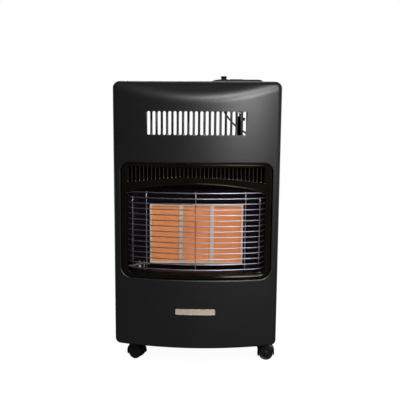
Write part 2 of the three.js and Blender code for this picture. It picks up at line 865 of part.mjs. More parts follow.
function plaque(i) {
  const half = plaqueWidth / 2 + plaqueLap;
  return block(plaqueX(i) - half, plaqueX(i) + half, plaqueFrontY, plaqueFrontY + plaqueThickness,
    plaqueBottom - plaqueLap, plaqueBottom + plaqueHeight + plaqueLap);
}

function plaqueFrame() {
  const half = burnerWidth / 2 + frameBorder;
  const bottom = plaqueBottom - frameBorder;
  const top = plaqueBottom + plaqueHeight + frameBorder;
  const rear = plenumFrontY - gap;
  const outer = block(-half, half, burnerFront, rear, bottom, top);
  const hollow = block(-half + sheet, half - sheet, burnerFront + frameThickness, rear + 1,
    bottom + sheet, top - sheet);
  const windows = [];
  for (let i = 0; i < plaqueCount; i += 1) {
    windows.push(block(plaqueX(i) - plaqueWidth / 2, plaqueX(i) + plaqueWidth / 2, burnerFront - 1, rear,
      plaqueBottom, plaqueBottom + plaqueHeight));
  }
  return cut(outer, [hollow, ...windows]);
}

function plenum() {
  const half = burnerWidth / 2 + frameBorder;
  const top = plaqueBottom + plaqueHeight + frameBorder;
  const outer = block(-half, half, plenumFrontY, plenumRearY, plenumBottom, top);
  const hollows = [];
  for (let i = 0; i < plaqueCount; i += 1) {
    const reach = plaqueWidth / 2;
    hollows.push(block(plaqueX(i) - reach, plaqueX(i) + reach, plenumFrontY - 1, plenumRearY - plenumWall,
      plaqueBottom, plaqueBottom + plaqueHeight));
    hollows.push(rod(mixerThroatRadius, plenumBottom - 1, plaqueBottom + 1)
      .translate(plaqueX(i), plenumY, 0));
  }
  return cut(outer, hollows);
}

function mixingTube(i) {
  const waist = mixerBottom + mixerLength * 0.4;
  const profile = [
    [mixerRadius, mixerBottom], [mixerThroatRadius + mixerWall, waist],
    [mixerThroatRadius + mixerWall, mixerTop], [mixerThroatRadius, mixerTop],
    [mixerThroatRadius, waist], [mixerRadius - mixerWall, mixerBottom], [mixerRadius, mixerBottom],
  ];
  return turned(profile, 16).translate(plaqueX(i), plenumY, 0);
}

function injectorRail() {
  const half = plaquePitch + railDepth;
  const rail = block(-half, half, plenumY - railDepth / 2, plenumY + railDepth / 2, railBottom, railTop);
  const jets = [];
  for (let i = 0; i < plaqueCount; i += 1) {
    const profile = [
      [0, railTop - 1], [injectorRadius, railTop - 1], [injectorRadius, injectorTop - injectorRadius],
      [injectorRadius / 2, injectorTop], [0, injectorTop],
    ];
    jets.push(turned(profile, 12).translate(plaqueX(i), plenumY, 0));
  }
  return join([rail, ...jets]);
}

function reflectorPan() {
  const mouthY = faceFrontY;
  const mouth = { halfWidth: panMouthWidth / 2, bottom: panMouthBottom, top: panMouthTop };
  const floor = { halfWidth: panFloorWidth / 2, bottom: panFloorBottom, top: panFloorTop };
  const innerMouth = {
    halfWidth: mouth.halfWidth - sheet, bottom: mouth.bottom + sheet, top: mouth.top - sheet,
  };
  const innerFloor = {
    halfWidth: floor.halfWidth - sheet, bottom: floor.bottom + sheet, top: floor.top - sheet,
  };
  const half = burnerWidth / 2 + frameBorder + gap;
  const burnerHole = block(-half, half, panFloorY - panelReturn, panFloorY + panelReturn,
    plaqueBottom - frameBorder - gap, plaqueBottom + plaqueHeight + frameBorder + gap);
  return taperedBlock(mouth, floor, mouthY, panFloorY)
    .subtract(taperedBlock(innerMouth, innerFloor, mouthY - 0.01, panFloorY - sheet))
    .intersect(behindBow(bezelRecess + bezelDepth + gap, panFloorY + 1, panelBottom, bodyTop))
    .subtract(burnerHole)
    .subtract(wire(pilotRoute(), pilotBurnerDiameter + 3, 8))
    .subtract(rod(electrodeRadius + gap, bracketZ, senseTop, 12).translate(electrodeX, senseY, 0))
    .subtract(rod(thermocoupleRadius + gap, bracketZ, senseTop, 12).translate(thermocoupleX, senseY, 0));
}

function heatShield() {
  const half = innerFaceX - gap;
  const bottom = trayFloor + gap;
  const plate = block(-half, half, shieldY, shieldY + sheet, bottom, shieldTop);
  const left = block(-half, -half + sheet, shieldY, shieldY + shieldFlange, bottom + trayRim, shieldTop);
  const right = block(half - sheet, half, shieldY, shieldY + shieldFlange, bottom + trayRim, shieldTop);
  const notch = block(half - shieldNotchWidth, half + 1, shieldY - 1, shieldY + shieldFlange + 1,
    shieldNotchLow, shieldNotchHigh);
  const socketCorners = [-1, 1].map((side) => {
    const inner = side * (castorX - stemRadius - socketWall - 3 * gap);
    const outer = side * (half + 1);
    return block(Math.min(inner, outer), Math.max(inner, outer), shieldY - 1,
      shieldY + shieldFlange + 1, bottom - 1, trayBottom + trayRim + gap);
  });
  return cut(join([plate, left, right]), [notch, ...socketCorners]);
}

// ---------------------------------------------------------------- pilot group

// Centre line of the pilot burner, from its tube through the pan's side to the plaques' corner.
function pilotRoute() {
  return bent([
    [pilotTubeX, pilotTubeY, pilotEntryZ - 8], [pilotTubeX, pilotTubeY, pilotEntryZ],
    [pilotTubeX + 17, pilotTubeY - 3, pilotEntryZ], [pilotTubeX + 53, pilotTubeY - 9, pilotEntryZ + 11],
    [pilotTubeX + pilotReach, pilotTubeY - 9, pilotEntryZ + 8],
  ], 8, 3);
}

function pilotBurner() {
  return wire(pilotRoute(), pilotBurnerDiameter, 8);
}

function sensor(x, radius, tipRadius) {
  const shoulder = senseTop - 9;
  const profile = [
    [0, senseBottom], [radius, senseBottom], [radius, shoulder - 1], [tipRadius, shoulder],
    [tipRadius, senseTop], [0, senseTop],
  ];
  return turned(profile, 12).translate(x, senseY, 0);
}

function pilotBracket() {
  const margin = 6;
  const rear = panFloorY + gap + sheet;
  const foot = block(electrodeX - margin, thermocoupleX + margin, senseY - margin, rear,
    bracketZ, bracketZ + sheet);
  const tab = block(electrodeX - margin, thermocoupleX + margin, rear - sheet, rear, bracketZ,
    senseTop);
  return cut(join([foot, tab]), [
    rod(electrodeRadius + gap, bracketZ - 1, bracketZ + 3, 12).translate(electrodeX, senseY, 0),
    rod(thermocoupleRadius + gap, bracketZ - 1, bracketZ + 3, 12).translate(thermocoupleX, senseY, 0),
  ]);
}

// ---------------------------------------------------------------- valve and controls

function gasValve() {
  const bodyBlock = block(valveLeft, valveLeft + valveWidth, controlsY - valveDepth / 2,
    controlsY + valveDepth / 2, valveBottom, valveTop);
  const neck = rod(valveNeckRadius, valveTop - 1, neckTop, 24).translate(knobX, controlsY, 0);
  const foot = rod(nozzleFlangeRadius, valveBottom - 4, valveBottom + 1, 6)
    .translate(nozzleX, controlsY, 0);
  const boreBottom = neckTop - tapLength - spindleRadius - knobTravel;
  const bore = rod(tapRadius + tapClearance, boreBottom, neckTop + 1, 24).translate(knobX, controlsY, 0);
  return cut(join([bodyBlock, neck, foot]), [bore]);
}

function tapPlug() {
  const bottom = neckTop - tapLength - spindleRadius - knobTravel + tapClearance;
  return rod(tapRadius, bottom, bottom + tapLength, 24).translate(knobX, controlsY, 0);
}

function knobSpindle() {
  const bottom = neckTop - spindleRadius + tapClearance * 2;
  return rod(spindleRadius, bottom, knobTop - 3, 16).translate(knobX, controlsY, 0);
}

function controlKnob() {
  const rim = 1.5;
  const profile = [
    [spindleRadius + gap, knobBottom], [knobRadius, knobBottom], [knobRadius, knobTop - rim - 2],
    [knobRadius - rim, knobTop - 2], [0, knobTop - 2], [0, knobTop - 2.7],
    [spindleRadius + gap, knobTop - 2.7], [spindleRadius + gap, knobBottom],
  ];
  const grip = block(-knobRadius + rim + 1, knobRadius - rim - 1, -pointerWidth / 2, pointerWidth / 2,
    knobTop - 2.4, knobTop);
  return join([turned(profile, 24), grip]).translate(knobX, controlsY, 0);
}

function controlPlatform() {
  const half = platformDepth / 2;
  const bevel = platformBevel;
  const shape = roundedRectangle(platformLeft + bevel, platformRight - bevel, controlsY - half + bevel,
    controlsY + half - bevel, platformCorner - bevel);
  const geometry = new THREE.ExtrudeGeometry(shape, {
    depth: platformHeight - bevel, curveSegments: 4, bevelEnabled: true,
    bevelSize: bevel, bevelThickness: bevel, bevelSegments: 2,
  });
  geometry.translate(0, 0, platformBottom);
  const sideView = polygon([
    [platformLeft, platformBottom], [platformRight, platformBottom],
    [platformRight, platformTop - platformRightFall], [restRight, platformTop],
    [piezoX - piezoCollarRadius, platformTop],
    [platformLeft + platformCorner / 2, platformTop - platformLeftFall / 2],
    [platformLeft, platformTop - platformLeftFall],
  ]);
  const dome = solid(geometry).intersect(runBack(sideView, controlsY - half, controlsY + half));
  const rest = raise(roundedRectangle(restLeft, restRight, controlsY - restDepth / 2,
    controlsY + restDepth / 2, 5), platformBottom + 1, platformTop + restHeight);
  return cut(join([dome, rest]), [
    knobHole(platformBottom - 1, platformTop + 1), piezoHole(platformBottom - 1, platformTop + 1),
  ]);
}

function piezoBarrel() {
  const boreRadius = piezoWaistRadius + gap;
  const collarTop = platformTop + piezoCollarHeight;
  const profile = [
    [0, barrelBottom], [piezoBarrelRadius, barrelBottom], [piezoBarrelRadius, platformTop + gap],
    [piezoCollarRadius, platformTop + gap], [boreRadius + 1, collarTop], [boreRadius, collarTop],
    [boreRadius, barrelBottom + piezoBarrelLength / 2], [0, barrelBottom + piezoBarrelLength / 2],
  ];
  return turned(profile, 16).translate(piezoX, controlsY, 0);
}

function piezoButton() {
  const stemBottom = barrelBottom + piezoBarrelLength / 2 + piezoTravel + 1;
  const capTop = capBottom + piezoCapHeight;
  const profile = [
    [0, stemBottom], [piezoWaistRadius, stemBottom], [piezoWaistRadius, capBottom],
    [piezoCapRadius, capBottom], [piezoCapRadius, capTop - 1.4], [piezoCapRadius - 1.4, capTop],
    [0, capTop],
  ];
  return turned(profile).translate(piezoX, controlsY, 0);
}

function piezoNut() {
  const top = bodyTop - sheet - gap;
  return rod(piezoNutRadius, top - piezoNutHeight, top, 6)
    .subtract(rod(piezoBarrelRadius + gap, top - piezoNutHeight - 1, top + 1))
    .translate(piezoX, controlsY, 0);
}

// ---------------------------------------------------------------- hose and regulator

// Centre line of the hose: its bend under the valve, then straight down to the regulator's tail.
const hoseX = knobX + hoseSideStep;
const hoseBend = [
  [7.1, 14], [5.7, 21], [4.4, 29], [3.4, 38], [2.6, 48], [1.9, 60], [1.3, 76], [0.8, 96], [0.5, 119],
  [0.3, 149], [0.2, 184], [0.1, 224],
];
const hoseStraightSteps = 6;
const hoseBendEndZ = valveBottom - hoseBend[hoseBend.length - 1][1];
const hoseRoute = hoseBend.map(([side, drop]) => (
  new THREE.Vector3(hoseX + side, controlsY, valveBottom - drop)));
for (let i = 1; i <= hoseStraightSteps; i += 1) {
  const z = THREE.MathUtils.lerp(hoseBendEndZ, hoseEndZ, i / hoseStraightSteps);
  hoseRoute.push(new THREE.Vector3(hoseX, controlsY, z));
}

// The nozzle carries on along the hose's first step, up to the valve.
const nozzleStart = hoseRoute[0].clone()
  .addScaledVector(hoseRoute[0].clone().sub(hoseRoute[1]).normalize(), nozzleLength);
const nozzleX = nozzleStart.x;

function gasHose() {
  return wire(hoseRoute, hoseDiameter, 10);
}

// A solid made along +Z from the origin, set at a point of the hose and pointed along it.
function alongHose(manifold, from, toward) {
  const direction = toward.clone().sub(from).normalize();
  const tilt = Math.atan2(direction.x, direction.z);
  return manifold.rotate([0, THREE.MathUtils.radToDeg(tilt), 0]).translate(from.toArray());
}

function hoseNozzle() {
  const length = nozzleLength - gap;
  const profile = [
    [0, 0], [nozzleFlangeRadius - 1, 0], [nozzleFlangeRadius - 1, 2.5], [nozzleRadius, 2.5],
    [nozzleRadius, length], [0, length],
  ];
  return alongHose(turned(profile, 12), nozzleStart, hoseRoute[0]);
}

// A clamp near one end of the hose, set in from the end towards the next point.
function hoseClamp(end, next) {
  const bore = hoseDiameter / 2 + gap;
  const band = tube(bore + clampThickness, bore, -clampWidth / 2, clampWidth / 2, 16);
  const screwHouse = block(bore + gap, bore + 6, -4, 4, -clampWidth / 2, clampWidth / 2);
  const inward = next.clone().sub(end).normalize();
  const centre = end.clone().addScaledVector(inward, clampInset);
  return alongHose(band.add(screwHouse), centre, end);
}

const hoseEnd = hoseRoute[hoseRoute.length - 1];
const regulatorX = hoseEnd.x;
const regulatorZ = hoseEnd.z - gap - regulatorTail - regulatorRadius;
const regulatorFrontY = controlsY - (regulatorThickness + regulatorSkirt) / 2;

function regulator() {
  const skirtEnd = regulatorThickness + regulatorSkirt;
  const profile = [
    [0, 0], [regulatorRadius - 5, 0], [regulatorRadius, 5], [regulatorRadius, regulatorThickness - 4],
    [regulatorRadius - 6, regulatorThickness], [regulatorSkirtRadius, regulatorThickness],
    [regulatorSkirtRadius, skirtEnd], [regulatorSkirtRadius - 4, skirtEnd],
    [regulatorSkirtRadius - 4, regulatorThickness - 2], [0, regulatorThickness - 2],
  ];
  const drum = turned(profile, 20).rotate([-90, 0, 0])
    .translate(regulatorX, regulatorFrontY, regulatorZ);
  const tail = rod(nozzleRadius + 1, regulatorZ + regulatorRadius - 3, hoseEnd.z - gap, 12)
    .translate(regulatorX, regulatorFrontY + regulatorThickness / 2, 0);
  return join([drum, tail]);
}

function regulatorSwitch() {
  const rear = regulatorFrontY - gap;
  const bar = block(-switchLength / 2, switchLength / 2, rear - switchThickness, rear,
    -switchWidth / 2, switchWidth / 2);
  return bar.translate(regulatorX, 0, regulatorZ);
}

// ---------------------------------------------------------------- castors

function castorHood() {
  const inner = wheelRadius + wheelGap;
  const outer = inner + hoodThickness;
  const halfAcross = hoodWeb / 2 + gap + wheelWidth + gap;
  const stemTop = trayBottom + stemLength - 2;
  const shoulderZ = trayBottom - gap;
  const disc = rod(outer, -halfAcross, halfAcross, 24).rotate([90, 0, 0]);
  const sideRoom = [-1, 1].map((side) => {
    const near = side * hoodWeb / 2;
    const far = side * (halfAcross + 1);
    return rod(inner, Math.min(near, far), Math.max(near, far), 24).rotate([90, 0, 0]);
  });
  const lowCut = block(-outer - 1, 0, -halfAcross - 1, halfAcross + 1, -outer - 1, -hoodStemSideDrop);
  const rearCut = block(-1, outer + 1, -halfAcross - 1, halfAcross + 1, -outer - 1, -hoodRearSideDrop);
  const fender = cut(disc, [...sideRoom, lowCut, rearCut]);
  const axleBoss = rod(castorAxleRadius + gap + 2, -hoodWeb / 2, hoodWeb / 2, 10).rotate([90, 0, 0]);
  const axleBore = rod(castorAxleRadius + gap, -hoodWeb, hoodWeb, 10).rotate([90, 0, 0]);
  const head = rod(stemFlangeRadius, outer * 0.55, shoulderZ - axleZ, 16).translate(-castorTrail, 0, 0);
  const stem = rod(stemRadius, shoulderZ - axleZ - 1, stemTop - axleZ, 12).translate(-castorTrail, 0, 0);
  const headWhole = cut(join([head, stem]), [rod(inner, -halfAcross - 9, halfAcross + 9, 24)
    .rotate([90, 0, 0])]);
  return join([fender, axleBoss, headWhole]).subtract(axleBore);
}

function castorWheel(side) {
  const bore = castorAxleRadius + gap;
  const profile = [
    [bore, 0], [wheelRadius, 0], [wheelRadius, wheelWidth - 1.5], [wheelRadius - 1.5, wheelWidth],
    [wheelRadius - 4, wheelWidth], [wheelRadius - 5, wheelWidth - 1.5], [bore, wheelWidth - 0.5],
    [bore, 0],
  ];
  const start = hoodWeb / 2 + gap;
  const wheel = turned(profile, 18).translate(0, 0, start);
  return side < 0 ? wheel.rotate([90, 0, 0]) : wheel.rotate([-90, 0, 0]);
}

function castorAxle() {
  const half = hoodWeb / 2 + gap + wheelWidth - 1;
  return rod(castorAxleRadius, -half, half, 10).rotate([90, 0, 0]);
}

function addCastors() {
  const hood = castorHood();
  const axle = castorAxle();
  castorPlaces().forEach(({ name, x, y }, i) => {
    const group = new THREE.Group();
    group.position.set(x, y, axleZ);
    group.rotation.z = THREE.MathUtils.degToRad(castorAngles[i]);
    const trailing = new THREE.Group();
    trailing.position.set(castorTrail, 0, 0);
    group.add(trailing);
    heater.add(group);
    add(`castor_${name}_hood`, hood, blackPlastic, trailing);
    add(`castor_${name}_axle`, axle, zincMetal, trailing);
    add(`castor_${name}_wheel_a`, castorWheel(-1), blackPlastic, trailing);
    add(`castor_${name}_wheel_b`, castorWheel(1), blackPlastic, trailing);
  });
}

// ---------------------------------------------------------------- tubes and leads

// Each tube drops down its own lane behind the shield and crosses at its own height.
function laneX(lane) {
  return bundleX + lane * laneStep;
}

function laneZ(lane) {
  return crossZ - lane * laneStep;
}

const pilotLane = plaqueCount;
const valveEndX = valveLeft + valveWidth + gap;

// From the valve's right end down to the jet of a plaque.
function supplyPipe(i) {
  const lane = plaqueCount - 1 - i;
  const x = laneX(lane);
  const z = laneZ(lane);
  const startY = controlsY + (lane - 1) * laneStep;
  const startZ = valveTop - (lane + 1) * laneStep;
  const corners = [
    [valveEndX, startY, startZ], [x, startY, startZ], [x, bundleY, startZ - bundleFall],
    [x, bundleY, z], [x, plenumY, z], [plaqueX(i), plenumY, z], [plaqueX(i), plenumY, railBottom - gap],
  ];
  return wire(bent(corners, tubeBend, 3), supplyTube);
}

function pilotPipe() {
  const x = laneX(pilotLane);
  const z = laneZ(pilotLane);
  const startY = controlsY + valveDepth / 2 - pilotTubeDiameter;
  const startZ = valveBottom + pilotTubeDiameter / 2;
  const corners = [
    [valveEndX, startY, startZ], [x, startY, startZ], [x, bundleY, startZ - bundleFall], [x, bundleY, z],
    [x, plenumY, z], [pilotTubeX, plenumY, z], [pilotTubeX, pilotTubeY, z + laneStep],
    [pilotTubeX, pilotTubeY, pilotEntryZ - 8 - gap],
  ];
  return wire(bent(corners, tubeBend, 3), pilotTubeDiameter);
}

// From the foot of the thermocouple back to the underside of the valve.
function thermocoupleLead() {
  const x = bundleX - laneStep;
  const z = laneZ(pilotLane + 1);
  const startX = valveLeft + valveWidth - thermocoupleLeadInset;
  const corners = [
    [startX, controlsY, valveBottom - gap], [startX, controlsY, valveBottom - 22],
    [x, bundleY, valveBottom - 1.5 * bundleFall], [x, bundleY, z], [x, plenumY, z],
    [thermocoupleX, plenumY, z],
    [thermocoupleX, senseY, z + laneStep], [thermocoupleX, senseY, senseBottom - gap],
  ];
  return wire(bent(corners, tubeBend, 3), thermocoupleLeadDiameter);
}

// From the piezo barrel's foot, past the front of the hose, down and across to the electrode.
function igniterLead() {
  const y = controlsY - hoseDiameter;
  const x = bundleX - 2 * laneStep;
  const z = laneZ(pilotLane + 2);
  const swag = igniterSwag.map(([side, drop]) => [piezoX + side, y, barrelBottom - drop]);
  const corners = [
    [piezoX, controlsY, barrelBottom - gap], [piezoX + 0.8, controlsY - 2, barrelBottom - igniterExit],
    ...swag, [x, bundleY, barrelBottom - igniterFall], [x, bundleY, z], [x, plenumY, z],
    [electrodeX, plenumY, z], [electrodeX, senseY, z + laneStep], [electrodeX, senseY, senseBottom - gap],
  ];
  return wire(bent(corners, tubeBend, 3), leadDiameter);
}

// ---------------------------------------------------------------- assembly

add('front_panel', frontPanel(), charcoalPaint);
add('badge_plate', badgePlate(), goldPlate);
add('top_cover', topCover(), charcoalPaint);
add('side_panel_right', sidePanel(), charcoalPaint);
add('side_panel_left', sidePanel().mirror([1, 0, 0]), charcoalPaint);
add('base_tray', baseTray(), charcoalPaint);
add('rear_cover', rearCover(), charcoalPaint);
add('bezel', bezel(), glossEnamel);
add('wire_guard', wireGuard(), chromeWire);
add('reflector_pan', reflectorPan(), darkReflector);
add('plaque_frame', plaqueFrame(), creamSteel);
add('burner_plenum', plenum(), innerSteel);
for (let i = 0; i < plaqueCount; i += 1) {
  add(`plaque_${i + 1}`, plaque(i), plaqueCeramic);
  add(`mixing_tube_${i + 1}`, mixingTube(i), innerSteel);
  add(`supply_tube_${i + 1}`, supplyPipe(i), copperTube);
}
add('injector_rail', injectorRail(), brassMetal);
add('heat_shield', heatShield(), innerSteel);
add('pilot_bracket', pilotBracket(), innerSteel);
add('pilot_burner', pilotBurner(), zincMetal);
add('spark_electrode', sensor(electrodeX, electrodeRadius, electrodeTipRadius), whiteCeramic);
add('thermocouple', sensor(thermocoupleX, thermocoupleRadius, thermocoupleTipRadius), brassMetal);
add('thermocouple_lead', thermocoupleLead(), copperTube);
add('pilot_tube', pilotPipe(), copperTube);
add('igniter_lead', igniterLead(), blackRubber);
add('gas_valve', gasValve(), brassMetal);
add('tap_plug', tapPlug(), brassMetal);
add('knob_spindle', knobSpindle(), zincMetal);
add('control_knob', controlKnob(), blackPlastic);
add('control_platform', controlPlatform(), blackPlastic);
add('piezo_barrel', piezoBarrel(), blackPlastic);
add('piezo_button', piezoButton(), blackPlastic);
add('piezo_nut', piezoNut(), zincMetal);
add('hose_nozzle', hoseNozzle(), brassMetal);
add('gas_hose', gasHose(), blackRubber);
add('hose_clamp_upper', hoseClamp(hoseRoute[0], hoseRoute[1]), zincMetal);
add('hose_clamp_lower', hoseClamp(hoseEnd, hoseRoute[hoseRoute.length - 2]), zincMetal);
add('regulator', regulator(), zincMetal);
add('regulator_switch', regulatorSwitch(), blackPlastic);
addCastors();

export default heater;
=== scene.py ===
"""Looks of a portable gas cabinet heater: a dark sheet-steel cabinet on castors, with a
radiant burner behind a bowed wire guard.

Sizes are millimetres unless a name says otherwise; meshes are made in metres. Outlines are
lists of (x, z) points, and shapes are (points, faces) pairs.
"""
import json
import math

import bmesh
import bpy
from mathutils import Matrix, Vector


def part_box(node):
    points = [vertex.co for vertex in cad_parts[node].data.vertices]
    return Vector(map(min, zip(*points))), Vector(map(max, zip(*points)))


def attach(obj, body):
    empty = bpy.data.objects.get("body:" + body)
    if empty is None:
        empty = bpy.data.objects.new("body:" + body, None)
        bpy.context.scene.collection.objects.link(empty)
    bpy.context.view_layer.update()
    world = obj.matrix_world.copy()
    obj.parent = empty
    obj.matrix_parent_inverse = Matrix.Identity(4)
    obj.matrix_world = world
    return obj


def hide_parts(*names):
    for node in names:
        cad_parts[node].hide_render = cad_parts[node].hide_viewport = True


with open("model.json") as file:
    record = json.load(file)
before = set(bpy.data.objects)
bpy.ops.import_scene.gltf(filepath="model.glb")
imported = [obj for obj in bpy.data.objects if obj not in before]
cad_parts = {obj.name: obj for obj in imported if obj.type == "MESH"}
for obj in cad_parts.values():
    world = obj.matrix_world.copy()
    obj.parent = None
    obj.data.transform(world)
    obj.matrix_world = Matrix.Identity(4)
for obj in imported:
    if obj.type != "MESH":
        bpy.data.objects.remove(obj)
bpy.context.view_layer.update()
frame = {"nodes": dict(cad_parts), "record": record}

MM = 0.001


def node_box(node):
    """Lowest and highest corners of a CAD node, in millimetres."""
    low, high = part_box(node)
    return low / MM, high / MM


# ---- sizes from the frame

PANEL_LOW, PANEL_HIGH = node_box("front_panel")
BEZEL_LOW, BEZEL_HIGH = node_box("bezel")
GUARD_LOW, GUARD_HIGH = node_box("wire_guard")
COVER_LOW, COVER_HIGH = node_box("top_cover")
SIDE_HIGH = node_box("side_panel_right")[1]
REAR_LOW, REAR_HIGH = node_box("rear_cover")
FRAME_LOW, FRAME_HIGH = node_box("plaque_frame")
BADGE_LOW, BADGE_HIGH = node_box("badge_plate")
PLATFORM_LOW, PLATFORM_HIGH = node_box("control_platform")
KNOB_LOW, KNOB_HIGH = node_box("control_knob")
BUTTON_LOW, BUTTON_HIGH = node_box("piezo_button")
BARREL_LOW, BARREL_HIGH = node_box("piezo_barrel")

HALF_WIDTH = PANEL_HIGH.x
FACE_FRONT = PANEL_LOW.y
PANEL_RIM = PANEL_HIGH.y
BODY_TOP = PANEL_HIGH.z
BODY_BOTTOM = PANEL_LOW.z

# ---- sizes of the looks

GAP = 0.3
CUT_REACH = 5.0
WELD = 1e-6

SHEET = 1.2
BOW = 32.0
EDGE_RADIUS = 10.0
FOOT_RADIUS = 4.0
TOP_CORNER = 17.0
BOTTOM_CORNER = 12.0
FACET_DROP = 40.0
FACET_RUN = 35.0
CREASE_SOFTNESS = 15.0
FACE_ROWS = 64

OPENING_GAP = 1.5
OPENING_TOP_CORNER = 22.0
OPENING_BOTTOM_CORNER = 28.0
OPENING_ROLL = 3.0
OPENING_LIP = 9.0

VENT_COUNT = 19
VENT_PITCH = 13.0
VENT_WIDTH = 7.0
VENT_BOTTOM = 602.5
VENT_TOP = 660.0

BEZEL_SHEET = 1.6
BEZEL_RECESS = 2.5
BEZEL_DEPTH = 12.0
BEZEL_ROLL = 2.5
BEZEL_DISH = 1.6
DISH_ROWS = 10
BEAD_WIDTH = 3.0
BEAD_PROFILE = [(3.0, 0.0), (2.5, 0.1), (2.1, 0.45), (1.6, 0.75), (1.0, 0.8), (0.5, 0.55),
                (0.15, 0.1), (0.0, -0.7)]
WINDOW_HALF = 174.0
WINDOW_BOTTOM = 252.0
WINDOW_CORNER = 14.0
WINDOW_TOP_CORNER = 6.0
ARCH_TOP = 481.0
ARCH_DROP = 20.0
FIN_COUNT = 35
FIN_PITCH = 10.1
FIN_THICKNESS = 2.2
FIN_EDGE = 0.95
FIN_TOP = 523.0
FIN_FOOT = 498.0
FIN_FOOT_DROP = 18.0
FIN_SETBACK = 1.6
FIN_SWEEP = 5.0
FIN_LEAN = 1.2
FIN_NOSE = 1.4
FIN_LAP = 1.0
GRILLE_STEPS = 40

WIRE = 2.5
GUARD_ROWS = 15
GUARD_PITCH = 13.74
GUARD_BOTTOM = 269.0
GUARD_HALF_SPAN = 161.0
GUARD_BOW = 27.0
GUARD_BEND = 5.0
GUARD_KNEE = 0.35
KNEE_STEPS = 6
GUARD_HOOK_REACH = 17.0
GUARD_TOP_HOOK_DIP = 7.0
GUARD_INNER_UPRIGHT = 123.0
GUARD_OUTER_UPRIGHT = 159.0
GUARD_OVERHANG = WIRE * 1.2
ROW_STEPS = 32
UPRIGHT_STEPS = 12

PAN_GAP = 0.4
PAN_FLOOR_HALF = 158.0
PAN_FLOOR_LOW = 262.0
PAN_FLOOR_HIGH = 464.0
PAN_FLOOR_Y = -112.0
PAN_MOUTH_HALF = 175.5
PAN_MOUTH_LOW = 251.5
PAN_MOUTH_HIGH = 482.0
PAN_CORNER = 16.0
PAN_BEND = 6.0
PAN_BEND_SHARE = 0.12
PILOT_SLOT = 26.0
PLAQUE_COUNT = 3
PLAQUE_PITCH = 80.0
PLAQUE_HALF = 35.25
PLAQUE_LOW = 274.5
PLAQUE_HIGH = 420.5
PLAQUE_CORNER = 2.0
PLAQUE_RIM = 2.0
PLAQUE_FIELD = 3.2
PLAQUE_SINK = 0.7

COVER_ROLL = 4.0
SEAM_LAP = 6.5
TONGUE_INSET = 20.0
TONGUE_REACH = 8.0
SIDE_BEND = 3.0
SIDE_FLANGE = 14.0
SIDE_SHORT = 7.0
SIDE_LAP_INSET = 1.5
SIDE_LAP_END = 14.0
SIDE_FOOT = 12.0
SIDE_TONGUE_INSET = 28.0
REAR_SHEET = 1.1
REAR_RIM_INSET = 15.4
REAR_RIM_FOOT = 26.0
LOUVRE_COUNT = 7
LOUVRE_PITCH = 14.0
LOUVRE_BOTTOM = 110.0
LOUVRE_HEIGHT = 5.0
LOUVRE_HALF = 70.0
LOUVRE_OFFSET = 90.0
LOUVRE_REACH = 4.5
LOUVRE_LIP = 0.8
BADGE_THICKNESS = 1.0
BADGE_BORDER = 1.2
BADGE_CORNER = 2.2

CONTROLS_Y = -45.0
KNOB_X = 100.5
KNOB_RADIUS = (KNOB_HIGH.x - KNOB_LOW.x) / 2
KNOB_CLEARANCE = 1.2
KNOB_SIDES = 144
KNOB_BORE = 4.4
FLUTES = 24
FLUTE_DEPTH = 0.018
PIEZO_X = 67.4
PIEZO_HOLE = 9.4
PIEZO_WAIST = 6.85
PIEZO_BORE = 7.2
PIEZO_CAP_HEIGHT = 4.0
BARREL_RADIUS = 9.0
PLATFORM_CORNER = 16.0
PLATFORM_ROLL = 5.0
REST_X = 150.5
REST_HALF = 7.5
REST_DEPTH = 34.0
REST_RISE = 1.1
DECK = PLATFORM_HIGH.z - REST_RISE

HOSE_RADIUS = 7.0
HOSE_X = 105.5
HOSE_TOP = 664.0
HOSE_END = 202.0
HOSE_BEND = [(7.1, 14), (5.7, 21), (4.4, 29), (3.4, 38), (2.6, 48), (1.9, 60), (1.3, 76),
             (0.8, 96), (0.5, 119), (0.3, 149), (0.2, 184), (0.1, 224)]
HOSE_STRAIGHT_STEPS = 6

WHEEL_RADIUS = 19.0
WHEEL_WIDTH = 12.0
WHEEL_START = 2.3
HOOD_RADIUS = 22.7
HOOD_INNER = 19.7
HOOD_HALF = 14.6
HOOD_WEB = 2.0
HOOD_START = -10
HOOD_SWEEP = 214
HOOD_STEPS = 48
CASTOR_TRAIL = 16.0
CASTOR_SHOULDER = 60.8 - WHEEL_RADIUS
STEM_RADIUS = 5.5
STEM_TOP = 81.0 - WHEEL_RADIUS
CASTORS = [("front_left", -174.0, -85.0, -28.0), ("front_right", 174.0, -85.0, -6.0),
           ("rear_left", -174.0, 148.0, 165.0), ("rear_right", 174.0, 148.0, -60.0)]

# ---- camera

CAMERA_PLACE = Vector((39.9, -1556.9, 626.6))
CAMERA_PITCH = 0.1318
CAMERA_YAW = -0.0216
CAMERA_ROLL = -0.0079
FOCAL_PIXELS = 564.2
IMAGE_PIXELS = 400.0
SENSOR_WIDTH = 36.0


def add_object(name, data):
    made = bpy.data.objects.new(name, data)
    bpy.context.scene.collection.objects.link(made)
    return made


